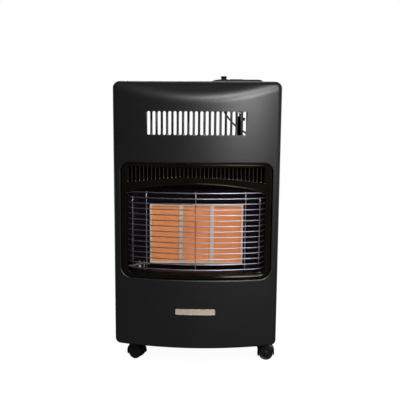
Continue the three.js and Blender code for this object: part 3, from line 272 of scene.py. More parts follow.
def make_camera():
    forward = Vector((math.sin(CAMERA_YAW) * math.cos(CAMERA_PITCH),
                      math.cos(CAMERA_YAW) * math.cos(CAMERA_PITCH),
                      -math.sin(CAMERA_PITCH)))
    level_right = Vector((math.cos(CAMERA_YAW), -math.sin(CAMERA_YAW), 0.0))
    level_down = forward.cross(level_right)
    right = math.cos(CAMERA_ROLL) * level_right + math.sin(CAMERA_ROLL) * level_down
    down = math.cos(CAMERA_ROLL) * level_down - math.sin(CAMERA_ROLL) * level_right
    data = bpy.data.cameras.new("photo_camera")
    data.sensor_width = SENSOR_WIDTH
    data.lens = FOCAL_PIXELS / IMAGE_PIXELS * SENSOR_WIDTH
    data.clip_start = 0.05
    data.clip_end = 50.0
    camera = add_object("photo_camera", data)
    axes = Matrix((right, -down, -forward)).transposed().to_4x4()
    camera.matrix_world = Matrix.Translation(CAMERA_PLACE * MM) @ axes
    bpy.context.scene.camera = camera


# ---- materials

EVEN = (1.0, 1.0, 1.0)

# Each finish: its two shades, its lowest and highest roughness, the scale of its grain, the
# strength of its bump, and what else sets it apart.
FINISHES = {
    "charcoal_paint": ((0.0050, 0.0050, 0.0051), (0.0062, 0.0062, 0.0062), (0.33, 0.41), 1400.0, 0.06,
                       {"specular": 0.6}),
    # The heat shield's near-black paint is painted shade: the plate itself is galvanized steel,
    # darkened so the gaps behind the fins stay dark.
    "shade_dark_paint": ((0.003, 0.003, 0.003), (0.0045, 0.0045, 0.0045), (0.7, 0.85), 900.0, 0.06,
                       {"specular": 0.08}),
    "gloss_enamel": ((0.0030, 0.0024, 0.0016), (0.0045, 0.0036, 0.0026), (0.13, 0.2), 500.0, 0.02,
                     {"specular": 0.18, "tint": (1.0, 0.86, 0.62)}),
    # The fins' copy of the bezel enamel has a lighter base colour: a painted highlight along the fins'
    # edges.
    "fin_enamel": ((0.012, 0.010, 0.007), (0.016, 0.0135, 0.0095), (0.07, 0.11), 500.0, 0.02,
                   {"specular": 1.0, "tint": (1.0, 0.90, 0.72)}),
    "chrome_wire": ((0.34, 0.33, 0.40), (0.44, 0.43, 0.51), (0.3, 0.42), 700.0, 0.05,
                    {"metallic": 1.0}),
    "dark_reflector": ((0.016, 0.012, 0.015), (0.024, 0.019, 0.025), (0.2, 0.34), 300.0, 0.05,
                       {"metallic": 0.9, "stretch": (1.0, 1.0, 12.0)}),
    "cream_steel": ((0.46, 0.38, 0.31), (0.56, 0.48, 0.41), (0.4, 0.55), 500.0, 0.06,
                    {"metallic": 0.2}),
    "inner_steel": ((0.42, 0.42, 0.42), (0.56, 0.56, 0.55), (0.28, 0.42), 260.0, 0.08,
                    {"metallic": 0.9, "stretch": (1.0, 1.0, 8.0), "blotch": 60.0}),
    "brass_metal": ((0.50, 0.33, 0.12), (0.62, 0.44, 0.18), (0.25, 0.4), 500.0, 0.06,
                    {"metallic": 1.0}),
    "copper_tube": ((0.50, 0.22, 0.12), (0.62, 0.30, 0.18), (0.25, 0.42), 400.0, 0.05,
                    {"metallic": 1.0}),
    "zinc_metal": ((0.52, 0.52, 0.53), (0.68, 0.68, 0.70), (0.25, 0.42), 420.0, 0.08,
                   {"metallic": 1.0}),
    "pilot_steel": ((0.60, 0.57, 0.60), (0.76, 0.73, 0.76), (0.2, 0.32), 400.0, 0.05,
                    {"metallic": 0.9}),
    "white_ceramic": ((0.62, 0.60, 0.54), (0.74, 0.72, 0.66), (0.2, 0.3), 300.0, 0.03,
                      {"coat": 0.5}),
    "lead_rubber": ((0.010, 0.010, 0.010), (0.018, 0.018, 0.018), (0.5, 0.62), 900.0, 0.1, {}),
    "hose_rubber": ((0.010, 0.010, 0.010), (0.018, 0.018, 0.018), (0.55, 0.7), 1200.0, 0.25, {}),
    "black_plastic": ((0.006, 0.006, 0.0065), (0.009, 0.009, 0.0095), (0.4, 0.52), 1500.0, 0.12,
                      {"specular": 0.2}),
    "castor_plastic": ((0.0035, 0.0035, 0.0035), (0.005, 0.005, 0.005), (0.34, 0.46), 1200.0, 0.08,
                       {"specular": 0.15}),
    "wheel_plastic": ((0.0085, 0.0085, 0.009), (0.011, 0.011, 0.0115), (0.38, 0.5), 1200.0, 0.08,
                      {"specular": 0.3}),
    "gold_plate": ((0.50, 0.40, 0.32), (0.58, 0.48, 0.38), (0.3, 0.42), 600.0, 0.08,
                   {"metallic": 0.3, "stretch": (0.1, 1.0, 1.0)}),
    "badge_border": ((0.66, 0.60, 0.46), (0.74, 0.68, 0.54), (0.2, 0.3), 600.0, 0.03,
                     {"metallic": 0.6}),
}


def add(tree, kind, inputs, **settings):
    """A new node's outputs; its inputs are values or other nodes' outputs."""
    node = tree.nodes.new(kind)
    for name, value in settings.items():
        setattr(node, name, value)
    for socket, value in inputs.items():
        if isinstance(value, bpy.types.NodeSocket):
            tree.links.new(value, node.inputs[socket])
        else:
            node.inputs[socket].default_value = value
    return node.outputs


def new_material(name):
    made = bpy.data.materials.new(name)
    made.use_nodes = True
    made.node_tree.nodes.clear()
    return made


def add_surface(tree, inputs):
    shader = add(tree, "ShaderNodeBsdfPrincipled", inputs)
    add(tree, "ShaderNodeOutputMaterial", {"Surface": shader["BSDF"]})


def object_space(tree, stretch):
    place = add(tree, "ShaderNodeTexCoord", {})["Object"]
    return add(tree, "ShaderNodeMapping", {"Vector": place, "Scale": stretch})["Vector"]


def noise(tree, scale, detail, stretch=EVEN):
    place = object_space(tree, stretch)
    inputs = {"Vector": place, "Scale": scale, "Detail": detail}
    return add(tree, "ShaderNodeTexNoise", inputs)["Fac"]


def two_tone(tree, value, dark, light):
    """A colour that drifts from one shade to another along a value."""
    node = tree.nodes.new("ShaderNodeValToRGB")
    for element, place, color in zip(node.color_ramp.elements, (0.3, 0.7), (dark, light)):
        element.position = place
        element.color = (*color, 1.0)
    tree.links.new(value, node.inputs["Fac"])
    return node.outputs["Color"]


def bumped(tree, height, strength, distance_mm):
    inputs = {"Height": height, "Strength": strength, "Distance": distance_mm * MM}
    return add(tree, "ShaderNodeBump", inputs)["Normal"]


def coated(name, dark, light, roughness, grain, bump, metallic=0.0, coat=0.0, stretch=EVEN,
           blotch=14.0, specular=0.5, tint=EVEN):
    """A surface whose colour drifts between two shades, with a fine grain in its gloss and height."""
    made = new_material(name)
    tree = made.node_tree
    fine = noise(tree, grain, 2.0, stretch)
    low, high = roughness
    gloss = add(tree, "ShaderNodeMapRange", {"Value": fine, "To Min": low, "To Max": high})["Result"]
    add_surface(tree, {"Base Color": two_tone(tree, noise(tree, blotch, 3.0), dark, light),
                       "Roughness": gloss, "Normal": bumped(tree, fine, bump, 0.25),
                       "Metallic": metallic, "Coat Weight": coat, "Coat Roughness": 0.08,
                       "Specular IOR Level": specular, "Specular Tint": (*tint, 1.0)})
    return made


def plaque_material():
    """Porous ceramic with rows of fine burner holes, each sunk by a bump and painted a darker clay as
    shade.
    """
    made = new_material("plaque_ceramic")
    tree = made.node_tree
    across = object_space(tree, (1.0, 0.0, 1.0))
    holes = add(tree, "ShaderNodeTexVoronoi", {"Vector": across, "Scale": 420.0, "Randomness": 0.12})
    # Each hole's darker clay is painted shade inside the hole; the same mask also drives the bump.
    depth = add(tree, "ShaderNodeMapRange",
                {"Value": holes["Distance"], "From Min": 0.16, "From Max": 0.30})["Result"]
    clay = two_tone(tree, noise(tree, 30.0, 4.0), (0.62, 0.215, 0.075), (0.72, 0.255, 0.092))
    color = add(tree, "ShaderNodeMix", {"A": (0.30, 0.10, 0.045, 1.0), "B": clay, "Factor": depth},
                data_type="RGBA")["Result"]
    add_surface(tree, {"Base Color": color, "Roughness": 0.85, "Specular IOR Level": 0.15,
                       "Normal": bumped(tree, depth, 0.5, 0.5)})
    return made


def make_materials():
    made = {"plaque_ceramic": plaque_material()}
    for name, (dark, light, roughness, grain, bump, rest) in FINISHES.items():
        made[name] = coated(name, dark, light, roughness, grain, bump, **rest)
    return made


# ---- objects


def clean(data, weld=True, flatten=False):
    """Joins a mesh's doubled points and split flats, and turns its faces outwards."""
    mesh = bmesh.new()
    mesh.from_mesh(data)
    if weld:
        bmesh.ops.remove_doubles(mesh, verts=mesh.verts, dist=WELD)
    if flatten:
        bmesh.ops.dissolve_limit(mesh, angle_limit=math.radians(1.0), verts=mesh.verts,
                                 edges=mesh.edges)
    bmesh.ops.recalc_face_normals(mesh, faces=mesh.faces)
    mesh.to_mesh(data)
    mesh.free()


def mesh_data(name, points, faces, weld=True):
    """A mesh in metres from points in millimetres."""
    data = bpy.data.meshes.new(name)
    data.from_pydata([Vector(point) * MM for point in points], [], faces)
    data.validate()
    clean(data, weld)
    return data


def shade(data, smooth):
    for face in data.polygons:
        face.use_smooth = smooth


def finish(made, slot, body, replaced):
    """Gives an object its material, the body it rides and the nodes it stands for."""
    made.data.materials.clear()
    made.data.materials.append(MATERIALS[slot])
    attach(made, body)
    if replaced:
        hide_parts(*replaced)
    return made


def piece(name, points, faces, slot, body="cabinet", smooth=True, replaced=()):
    """A mesh object from points in millimetres, finished and riding on a body."""
    data = mesh_data(name, points, faces)
    shade(data, smooth)
    return finish(add_object(name, data), slot, body, replaced)


def bake(made):
    """Applies an object's modifiers to its mesh."""
    bpy.context.view_layer.update()
    evaluated = made.evaluated_get(bpy.context.evaluated_depsgraph_get())
    data = bpy.data.meshes.new_from_object(evaluated)
    made.modifiers.clear()
    made.data = data


def thicken(made, thickness, offset=-1.0):
    """Gives a sheet its thickness, behind its faces where the offset is -1."""
    modifier = made.modifiers.new("thickness", "SOLIDIFY")
    modifier.thickness = thickness * MM
    modifier.offset = offset
    bake(made)


def cut_out(made, points, faces):
    """Takes a closed shape, in millimetres, out of an object."""
    cutter = add_object("cutter", mesh_data("cutter", points, faces, weld=False))
    modifier = made.modifiers.new("cut", "BOOLEAN")
    modifier.operation = "DIFFERENCE"
    modifier.solver = "EXACT"
    modifier.object = cutter
    bake(made)
    bpy.data.objects.remove(cutter)


def soften(made, width, segments=2, angle=35.0):
    """Rounds an object's sharp edges."""
    modifier = made.modifiers.new("edges", "BEVEL")
    modifier.width = width * MM
    modifier.segments = segments
    modifier.limit_method = "ANGLE"
    modifier.angle_limit = math.radians(angle)
    modifier.harden_normals = True
    bake(made)


def even_shading(made, angle=25.0):
    """Keeps a sheet's flats flat and its bends round, after holes have been cut in it."""
    made.data.set_sharp_from_angle(angle=math.radians(angle))
    modifier = made.modifiers.new("shading", "WEIGHTED_NORMAL")
    modifier.weight = 100
    modifier.keep_sharp = True
    bake(made)


def softened_node(node, body, slot, width):
    """A finer copy of a CAD node, its sharp edges rounded as castings and pressings have them."""
    source = frame["nodes"][node]
    data = source.data.copy()
    data.transform(source.matrix_world)
    clean(data, flatten=True)
    shade(data, True)
    made = add_object(node + "_finish", data)
    soften(made, width, 2, 40.0)
    return finish(made, slot, body, [node])


# ---- outlines

CORNER_STEPS = 8
EDGE_STEPS = 44


def spaced(count, pitch):
    """Places at an even pitch, centred on nought."""
    return [(i - (count - 1) / 2) * pitch for i in range(count)]


def quarter(steps):
    """The cosine and sine of each step of a quarter turn."""
    angles = [math.radians(90 * i / steps) for i in range(steps + 1)]
    return [(math.cos(angle), math.sin(angle)) for angle in angles]


def arc(centre_x, centre_z, radius, start, end, steps):
    points = []
    for i in range(steps + 1):
        angle = math.radians(start + (end - start) * i / steps)
        points.append((centre_x + radius * math.cos(angle), centre_z + radius * math.sin(angle)))
    return points


def slot_outline(x, low, high, width):
    radius = width / 2
    top = arc(x, high - radius, radius, 0, 180, CORNER_STEPS)
    return top + arc(x, low + radius, radius, 180, 360, CORNER_STEPS)


def outline(half, low, high, low_radius, high_radius, drop=0.0):
    """A rounded upright rectangle, whose top may fall away towards its ends."""
    low_radius = max(low_radius, 0.5)
    high_radius = max(high_radius, 0.5)
    shoulder = high - drop - high_radius
    shares = [i / EDGE_STEPS for i in range(1, EDGE_STEPS)]
    rises = [low + low_radius + share * (shoulder - low - low_radius) for share in shares]
    points = arc(half - low_radius, low + low_radius, low_radius, -90, 0, CORNER_STEPS)
    points += [(half, z) for z in rises]
    points += arc(half - high_radius, shoulder, high_radius, 0, 90, CORNER_STEPS)
    for share in shares:
        x = (half - high_radius) * (1 - 2 * share)
        points.append((x, high - drop * (x / (half - high_radius)) ** 2))
    points += arc(-half + high_radius, shoulder, high_radius, 90, 180, CORNER_STEPS)
    points += [(-half, z) for z in reversed(rises)]
    points += arc(-half + low_radius, low + low_radius, low_radius, 180, 270, CORNER_STEPS)
    points += [((half - low_radius) * (2 * share - 1), low) for share in shares]
    return points


def between(first, second, share):
    return [((1 - share) * a[0] + share * b[0], (1 - share) * a[1] + share * b[1])
            for a, b in zip(first, second)]


def spine(ring, low, high, level_z):
    """An outline's points drawn to a level line."""
    return [(max(low, min(high, x)), level_z) for x, z in ring]


def upright(ring, y, shift=0.0):
    """An outline stood up at one depth."""
    return [(x + shift, y, z) for x, z in ring]


def flat(ring, height, shift_x=0.0, shift_y=0.0):
    """An outline laid flat at one height."""
    return [(x + shift_x, y + shift_y, height) for x, y in ring]


# ---- shapes

def loft(rings, first=False, last=False):
    """Quads between neighbouring rings of equal length, with a face across either end."""
    count = len(rings[0])
    points = [point for ring in rings for point in ring]
    faces = []
    for start in range(0, len(points) - count, count):
        for i in range(count):
            j = (i + 1) % count
            faces.append((start + i, start + j, start + count + j, start + count + i))
    if first:
        faces.append(tuple(range(count)))
    if last:
        faces.append(tuple(range(len(points) - 1, len(points) - count - 1, -1)))
    return points, faces


def prism(near, far):
    """The solid between two rings."""
    return loft([near, far], first=True, last=True)


def slab(profile, low_x, high_x):
    """The solid between a (y, z) profile at two places across."""
    return prism([(low_x, y, z) for y, z in profile], [(high_x, y, z) for y, z in profile])


def box_shape(low, high):
    """A box for the modifiers to work on."""
    points = [(x, y, z) for x in (low[0], high[0]) for y in (low[1], high[1])
              for z in (low[2], high[2])]
    faces = [(0, 1, 3, 2), (4, 6, 7, 5), (0, 4, 5, 1), (2, 3, 7, 6), (0, 2, 6, 4), (1, 5, 7, 3)]
    return points, faces


def tube(points, radius, sides=12):
    """A closed round tube along a line of points."""
    line = [Vector(point) for point in points]
    normal = (line[1] - line[0]).normalized().orthogonal().normalized()
    rings = []
    for i, place in enumerate(line):
        ahead = line[min(i + 1, len(line) - 1)]
        direction = (ahead - line[max(i - 1, 0)]).normalized()
        normal = (normal - normal.dot(direction) * direction).normalized()
        side = direction.cross(normal)
        ring = []
        for k in range(sides):
            angle = 2 * math.pi * k / sides
            ring.append(place + radius * (math.cos(angle) * normal + math.sin(angle) * side))
        rings.append(ring)
    return loft(rings, first=True, last=True)


def turned_rings(profile, segments=40, ripple=0.0, ripples=0):
    """Rings about +Z from (radius, height) points; ripples wave them round their axis."""
    rings = []
    for radius, height in profile:
        ring = []
        for k in range(segments):
            angle = 2 * math.pi * k / segments
            wave = 1.0 + ripple * math.cos(ripples * angle)
            ring.append((radius * wave * math.cos(angle), radius * wave * math.sin(angle), height))
        rings.append(ring)
    return rings


def turned(profile, segments=40):
    return loft(turned_rings(profile, segments))


def plug(radius, low, high, segments=48):
    """A round cutter about +Z."""
    return turned([(0, low), (radius, low), (radius, high), (0, high)], segments)


def combine(parts):
    """One shape from several."""
    points = []
    faces = []
    for part_points, part_faces in parts:
        start = len(points)
        points += list(part_points)
        faces += [tuple(index + start for index in face) for face in part_faces]
    return points, faces


def placed(shape, matrix):
    points, faces = shape
    return [matrix @ Vector(point) for point in points], faces


def shifted(shape, x, y, z=0.0):
    return placed(shape, Matrix.Translation((x, y, z)))


SCREW_PROFILE = [(0.0, 1.0), (0.9, 1.0), (1.3, 1.7), (2.4, 1.5), (3.3, 0.9), (3.7, 0.0), (0.0, 0.0)]


def screw_heads(name, places, direction):
    """Domed screw heads with a recess, standing on a face and pointing along a direction."""
    turn = Vector(direction).to_track_quat("Z", "Y").to_matrix().to_4x4()
    heads = [placed(turned(SCREW_PROFILE, 20), Matrix.Translation(place) @ turn) for place in places]
    piece(name, *combine(heads), "zinc_metal")


# ---- hose and lead

def make_hose():
    """The hose from the valve's nozzle down to the regulator, hanging under its own weight."""
    route = [(HOSE_X + side, CONTROLS_Y, HOSE_TOP - drop) for side, drop in HOSE_BEND]
    bend_end = route[-1][2]
    for i in range(1, HOSE_STRAIGHT_STEPS + 1):
        z = bend_end + (HOSE_END - bend_end) * i / HOSE_STRAIGHT_STEPS
        route.append((HOSE_X, CONTROLS_Y, z))
    hose = piece("hose", *tube(route, HOSE_RADIUS, 24), "hose_rubber", replaced=["gas_hose"])
    regulator = softened_node("regulator", "cabinet", "zinc_metal", 1.2)
    switch = softened_node("regulator_switch", "regulator_switch", "black_plastic", 1.2)
    clamp = softened_node("hose_clamp_lower", "cabinet", "zinc_metal", 0.3)


def make_igniter_lead():
    """The high-tension lead in its thicker sleeve."""
    lead = softened_node("igniter_lead", "cabinet", "lead_rubber", 0.2)
    modifier = lead.modifiers.new("sleeve", "DISPLACE")
    modifier.strength = 0.8 * MM
    modifier.mid_level = 0.0
    bake(lead)


# ---- front panel

BOW_RADIUS = (HALF_WIDTH ** 2 + BOW ** 2) / (2 * BOW)


def bow_y(x):
    return FACE_FRONT + BOW_RADIUS - math.sqrt(BOW_RADIUS ** 2 - x * x)


def bowed(ring, depth):
    """An outline stood up behind the bowed face."""
    return [(x, bow_y(x) + depth, z) for x, z in ring]


def face_y(x, z):
    """The bowed face with its sloping top facet, blended softly along their crease."""
    facet = FACE_FRONT + FACET_RUN - (BODY_TOP - z) * FACET_RUN / FACET_DROP
    bow = bow_y(x)
    blend = max(CREASE_SOFTNESS - abs(bow - facet), 0.0) / CREASE_SOFTNESS
    return max(bow, facet) + blend * blend * CREASE_SOFTNESS / 4


def on_face(ring, depth=0.0):
    return [(x, face_y(x, z) + depth, z) for x, z in ring]


def opening_outline(inset):
    half = BEZEL_HIGH.x + OPENING_GAP - inset
    return outline(half, BEZEL_LOW.z - OPENING_GAP + inset, BEZEL_HIGH.z + OPENING_GAP - inset,
                   OPENING_BOTTOM_CORNER - inset, OPENING_TOP_CORNER - inset)


def make_front_panel():
    """The bowed sheet with its rolled edges, its burner opening and its vents."""
    full = outline(HALF_WIDTH, BODY_BOTTOM, BODY_TOP, BOTTOM_CORNER, TOP_CORNER)
    shoulder = outline(HALF_WIDTH - EDGE_RADIUS, BODY_BOTTOM + FOOT_RADIUS, BODY_TOP - EDGE_RADIUS,
                       BOTTOM_CORNER - FOOT_RADIUS, TOP_CORNER - EDGE_RADIUS)
    radii = [min(math.dist(a, b), EDGE_RADIUS) for a, b in zip(full, shoulder)]
    rings = [upright(full, PANEL_RIM)]
    for cos, sin in quarter(8):
        ring = []
        for (x, z), radius in zip(between(full, shoulder, 1 - cos), radii):
            ring.append((x, min(face_y(x, z) + radius * (1 - sin), PANEL_RIM), z))
        rings.append(ring)
    mouth = opening_outline(-OPENING_ROLL)
    for i in range(1, FACE_ROWS):
        rings.append(on_face(between(shoulder, mouth, i / FACE_ROWS)))
    for cos, sin in quarter(6):
        rings.append(on_face(opening_outline(-OPENING_ROLL * (1 - sin)), OPENING_ROLL * (1 - cos)))
    rings.append(on_face(opening_outline(0.0), OPENING_LIP))
    panel = piece("front_panel_shell", *loft(rings), "charcoal_paint", replaced=["front_panel"])
    thicken(panel, SHEET)
    vents = []
    for x in spaced(VENT_COUNT, VENT_PITCH):
        ring = slot_outline(x, VENT_BOTTOM, VENT_TOP, VENT_WIDTH)
        vents.append(prism(upright(ring, FACE_FRONT - CUT_REACH), upright(ring, PANEL_RIM - CUT_REACH)))
    cut_out(panel, *combine(vents))


# ---- bezel with its fins

def foot_z(x):
    share = x / (BEZEL_HIGH.x + OPENING_GAP)
    return FIN_FOOT - FIN_FOOT_DROP * share * share


def window_outline(inset):
    return outline(WINDOW_HALF - inset, WINDOW_BOTTOM + inset, ARCH_TOP - inset,
                   WINDOW_CORNER - inset, WINDOW_TOP_CORNER - inset / 2, drop=ARCH_DROP)


def fin_shape(x):
    """An upright blade whose front edge sweeps forward at its foot."""
    rear = bow_y(x) + BEZEL_RECESS + BEZEL_DEPTH - 0.5
    front = bow_y(x) + BEZEL_RECESS + FIN_SETBACK
    top = FIN_TOP + FIN_LAP
    foot = foot_z(x) - FIN_LAP
    profile = [(rear, top), (front + FIN_LEAN / 3, top), (front + FIN_LEAN, FIN_TOP - 3.0)]
    for share in (0.0, 0.25, 0.5, 0.75, 1.0):
        nose = FIN_NOSE * share * share
        profile.append((front + FIN_LEAN - nose, foot + FIN_SWEEP * (1 - share)))
    profile.append((rear, foot))
    return slab(profile, x - FIN_THICKNESS / 2, x + FIN_THICKNESS / 2)


def make_bezel():
    """The gloss frame of the burner opening, with its arched window and its grille of fins."""
    back = BEZEL_RECESS + BEZEL_DEPTH
    rings = [bowed(opening_outline(OPENING_GAP), back)]
    for cos, sin in quarter(6):
        ring = opening_outline(OPENING_GAP + BEZEL_ROLL * (1 - cos))
        rings.append(bowed(ring, BEZEL_RECESS + BEZEL_ROLL * (1 - sin)))
    shoulder = opening_outline(OPENING_GAP + BEZEL_ROLL)
    foot = window_outline(-BEAD_WIDTH)
    for i in range(1, DISH_ROWS):
        share = i / DISH_ROWS
        rings.append(bowed(between(shoulder, foot, share), BEZEL_RECESS + BEZEL_DISH * share ** 2))
    for inset, lift in BEAD_PROFILE:
        rings.append(bowed(window_outline(-inset), BEZEL_RECESS + BEZEL_DISH - lift))
    rings.append(bowed(window_outline(0.0), back))
    bezel = piece("bezel_frame", *loft(rings), "gloss_enamel", replaced=["bezel"])
    thicken(bezel, BEZEL_SHEET)
    half = (FIN_COUNT - 1) / 2 * FIN_PITCH
    grille = [(half, FIN_TOP), (-half, FIN_TOP)]
    for i in range(GRILLE_STEPS + 1):
        x = -half + 2 * half * i / GRILLE_STEPS
        grille.append((x, foot_z(x)))
    cut_out(bezel, *prism(upright(grille, FACE_FRONT - CUT_REACH), upright(grille, PANEL_RIM)))
    fins = [fin_shape(x) for x in spaced(FIN_COUNT, FIN_PITCH)]
    # The fins take the lighter copy of the bezel's enamel, a painted highlight on their edges.
    blades = piece("bezel_fins", *combine(fins), "fin_enamel", smooth=False)
    soften(blades, FIN_EDGE, 3)


# ---- wire guard

def guard_y(x):
    share = x / GUARD_HALF_SPAN
    return GUARD_LOW.y + WIRE / 2 + GUARD_BOW * share * share


def hooked_row(z, dip):
    """A level wire bowed forward, its ends bent back and out to the bezel's sides."""
    shoulder = GUARD_HALF_SPAN - GUARD_BEND
    middle = []
    for i in range(ROW_STEPS + 1):
        x = -shoulder + 2 * shoulder * i / ROW_STEPS
        middle.append(Vector((x, guard_y(x), z)))
    tip_y = guard_y(GUARD_HALF_SPAN) + GUARD_HOOK_REACH
    ends = []
    for side in (-1, 1):
        tip = Vector((side * (GUARD_HIGH.x - WIRE / 2), tip_y, z - dip))
        corner = Vector((side * GUARD_HALF_SPAN, guard_y(GUARD_HALF_SPAN), z))
        start = Vector((side * shoulder, guard_y(shoulder), z))
        knee = corner.lerp(tip, GUARD_KNEE)
        end = [tip, knee]
        for i in range(1, KNEE_STEPS):
            share = i / KNEE_STEPS
            end.append(knee.lerp(corner, share).lerp(corner.lerp(start, share), share))
        ends.append(end)
    return tube(ends[0] + middle + ends[1][::-1], WIRE / 2)


def make_guard():
    """One welded net of level wires and uprights."""
    parts = []
    for i in range(GUARD_ROWS):
        dip = GUARD_TOP_HOOK_DIP if i == GUARD_ROWS - 1 else 0.0
        parts.append(hooked_row(GUARD_BOTTOM + i * GUARD_PITCH, dip))
    low = GUARD_BOTTOM - GUARD_OVERHANG
    high = GUARD_BOTTOM + (GUARD_ROWS - 1) * GUARD_PITCH + GUARD_OVERHANG
    uprights = [(x, low, high) for x in (-GUARD_INNER_UPRIGHT, 0.0, GUARD_INNER_UPRIGHT)]
    uprights += [(x, low + GUARD_PITCH, high - GUARD_PITCH)
                 for x in (-GUARD_OUTER_UPRIGHT, GUARD_OUTER_UPRIGHT)]
    for x, foot, head in uprights:
        y = guard_y(x) + WIRE * 0.85
        line = [(x, y, foot + (head - foot) * i / UPRIGHT_STEPS) for i in range(UPRIGHT_STEPS + 1)]
        parts.append(tube(line, WIRE / 2))
    piece("guard_wires", *combine(parts), "chrome_wire", replaced=["wire_guard"])


# ---- burner and its pan

def make_pan():
    """The pressed pan behind the window, its walls running into its floor in a soft bend."""
    mouth = outline(PAN_MOUTH_HALF, PAN_MOUTH_LOW, PAN_MOUTH_HIGH, PAN_CORNER, PAN_CORNER / 2)
    foot = outline(PAN_FLOOR_HALF, PAN_FLOOR_LOW, PAN_FLOOR_HIGH, PAN_CORNER, PAN_CORNER / 2)
    hole = outline(FRAME_HIGH.x + PAN_GAP, FRAME_LOW.z - PAN_GAP, FRAME_HIGH.z + PAN_GAP, 1.0, 1.0)
    floor_y = PAN_FLOOR_Y - SHEET
    rings = []
    for share in (0.0, 0.25, 0.5, 0.7, 0.85):
        ring = []
        for x, z in between(mouth, foot, share):
            front = bow_y(x) + BEZEL_RECESS + BEZEL_DEPTH + PAN_GAP
            ring.append((x, front + (floor_y - front) * share, z))
        rings.append(ring)
    for cos, sin in quarter(5)[1:]:
        ring = between(foot, hole, PAN_BEND_SHARE * (1 - cos))
        rings.append(upright(ring, floor_y - PAN_BEND * (1 - sin)))
    for share in (0.3, 0.6, 1.0):
        rings.append(upright(between(foot, hole, share), floor_y))
    pan = piece("reflector_pan_shell", *loft(rings), "dark_reflector", replaced=["reflector_pan"])
    thicken(pan, SHEET - GAP, 1.0)
    low, high = node_box("pilot_burner")
    cut_out(pan, *box_shape((low.x - 1, low.y - 1, low.z - 1),
                            (low.x + PILOT_SLOT, high.y + 1, high.z + 1)))
    for node in ("spark_electrode", "thermocouple"):
        low, high = node_box(node)
        passage = plug((high.x - low.x) / 2 + PAN_GAP, low.z, high.z, 20)
        cut_out(pan, *shifted(passage, (low.x + high.x) / 2, (low.y + high.y) / 2))


def make_plaque_frame():
    """A folded frame round the plaques, with a bar on each joint between them."""
    rim = piece("plaque_frame_folded", *box_shape(FRAME_LOW, FRAME_HIGH), "cream_steel",
                replaced=["plaque_frame"])
    cut_out(rim, *box_shape((FRAME_LOW.x + SHEET, FRAME_LOW.y + 1.6, FRAME_LOW.z + SHEET),
                            (FRAME_HIGH.x - SHEET, FRAME_HIGH.y + 1, FRAME_HIGH.z - SHEET)))
    window = outline(PLAQUE_HALF, PLAQUE_LOW, PLAQUE_HIGH, PLAQUE_CORNER, PLAQUE_CORNER)
    for x in spaced(PLAQUE_COUNT, PLAQUE_PITCH):
        cut_out(rim, *prism(upright(window, FRAME_LOW.y - 1, x), upright(window, FRAME_LOW.y + 3, x)))
    soften(rim, 0.5)


def make_plaques():
    """Cast ceramic plaques: a plain rim round a field that stands a little lower."""
    rim, field = (outline(PLAQUE_HALF - inset, PLAQUE_LOW + inset, PLAQUE_HIGH - inset,
                          PLAQUE_CORNER, PLAQUE_CORNER) for inset in (PLAQUE_RIM, PLAQUE_FIELD))
    for i, x in enumerate(spaced(PLAQUE_COUNT, PLAQUE_PITCH)):
        low, high = node_box(f"plaque_{i + 1}")
        body = outline((high.x - low.x) / 2, low.z, high.z, 1.5, 1.5)
        centre = [(0.0, (low.z + high.z) / 2)] * len(body)
        rings = [upright(body, high.y, x), upright(body, low.y + 0.6, x),
                 upright(between(body, rim, 0.2), low.y, x), upright(rim, low.y, x)]
        for share in (0.0, 0.3, 0.6, 0.9):
            rings.append(upright(between(field, centre, share), low.y + PLAQUE_SINK, x))
        tile = piece(f"plaque_{i + 1}_cast", *loft(rings, first=True, last=True), "plaque_ceramic",
                     smooth=False, replaced=[f"plaque_{i + 1}"])
        soften(tile, 0.25, 1)


# ---- cabinet sheets

def cover_outline(inset):
    return outline(HALF_WIDTH - inset, COVER_LOW.z, BODY_TOP - inset, 0.5, TOP_CORNER - inset)


def cut_control_holes(made, low, high):
    """Opens a sheet for the knob and the igniter."""
    for x, radius in ((KNOB_X, KNOB_RADIUS + KNOB_CLEARANCE), (PIEZO_X, PIEZO_HOLE)):
        cut_out(made, *shifted(plug(radius, low, high), x, CONTROLS_Y))


def make_top_cover():
    """The folded top, its rear edge rolled down, and a tongue that closes its front seam."""
    rings = [upright(cover_outline(0.0), PANEL_RIM + GAP)]
    for cos, sin in quarter(6):
        ring = cover_outline(COVER_ROLL * (1 - cos))
        rings.append(upright(ring, COVER_HIGH.y - COVER_ROLL * (1 - sin)))
    points, faces = loft(rings, last=True)
    floor = COVER_LOW.z + 1.0
    faces = [face for face in faces if max(points[index][2] for index in face) >= floor]
    cover = piece("top_cover_folded", points, faces, "charcoal_paint", replaced=["top_cover"])
    thicken(cover, SHEET)
    under = BODY_TOP - SHEET - GAP
    tongue = box_shape((-HALF_WIDTH + TONGUE_INSET, PANEL_RIM - SEAM_LAP, under - SHEET),
                       (HALF_WIDTH - TONGUE_INSET, PANEL_RIM + TONGUE_REACH, under))
    piece("top_cover_tongue", *tongue, "charcoal_paint", smooth=False)
    cut_control_holes(cover, BODY_TOP - 2 * CUT_REACH, BODY_TOP + CUT_REACH)
    even_shading(cover)
    screws = [(x, COVER_HIGH.y - 2.2, BODY_TOP - 15.0) for x in (-150, 0, 150)]
    screw_heads("top_cover_screws", screws, (0, 1, 0))


def side_section(inset):
    """Plan view of the right side panel's skin, from its front edge to its rear flange."""
    radius = SIDE_BEND - inset
    side = HALF_WIDTH - inset
    rear = SIDE_HIGH.y - inset
    section = [(side, PANEL_RIM + GAP)]
    for share in (0.25, 0.5, 0.75):
        section.append((side, PANEL_RIM + share * (rear - radius - PANEL_RIM)))
    for cos, sin in quarter(5):
        section.append((side - radius * (1 - cos), rear - radius * (1 - sin)))
    section.append((HALF_WIDTH - SIDE_FLANGE, rear))
    return section


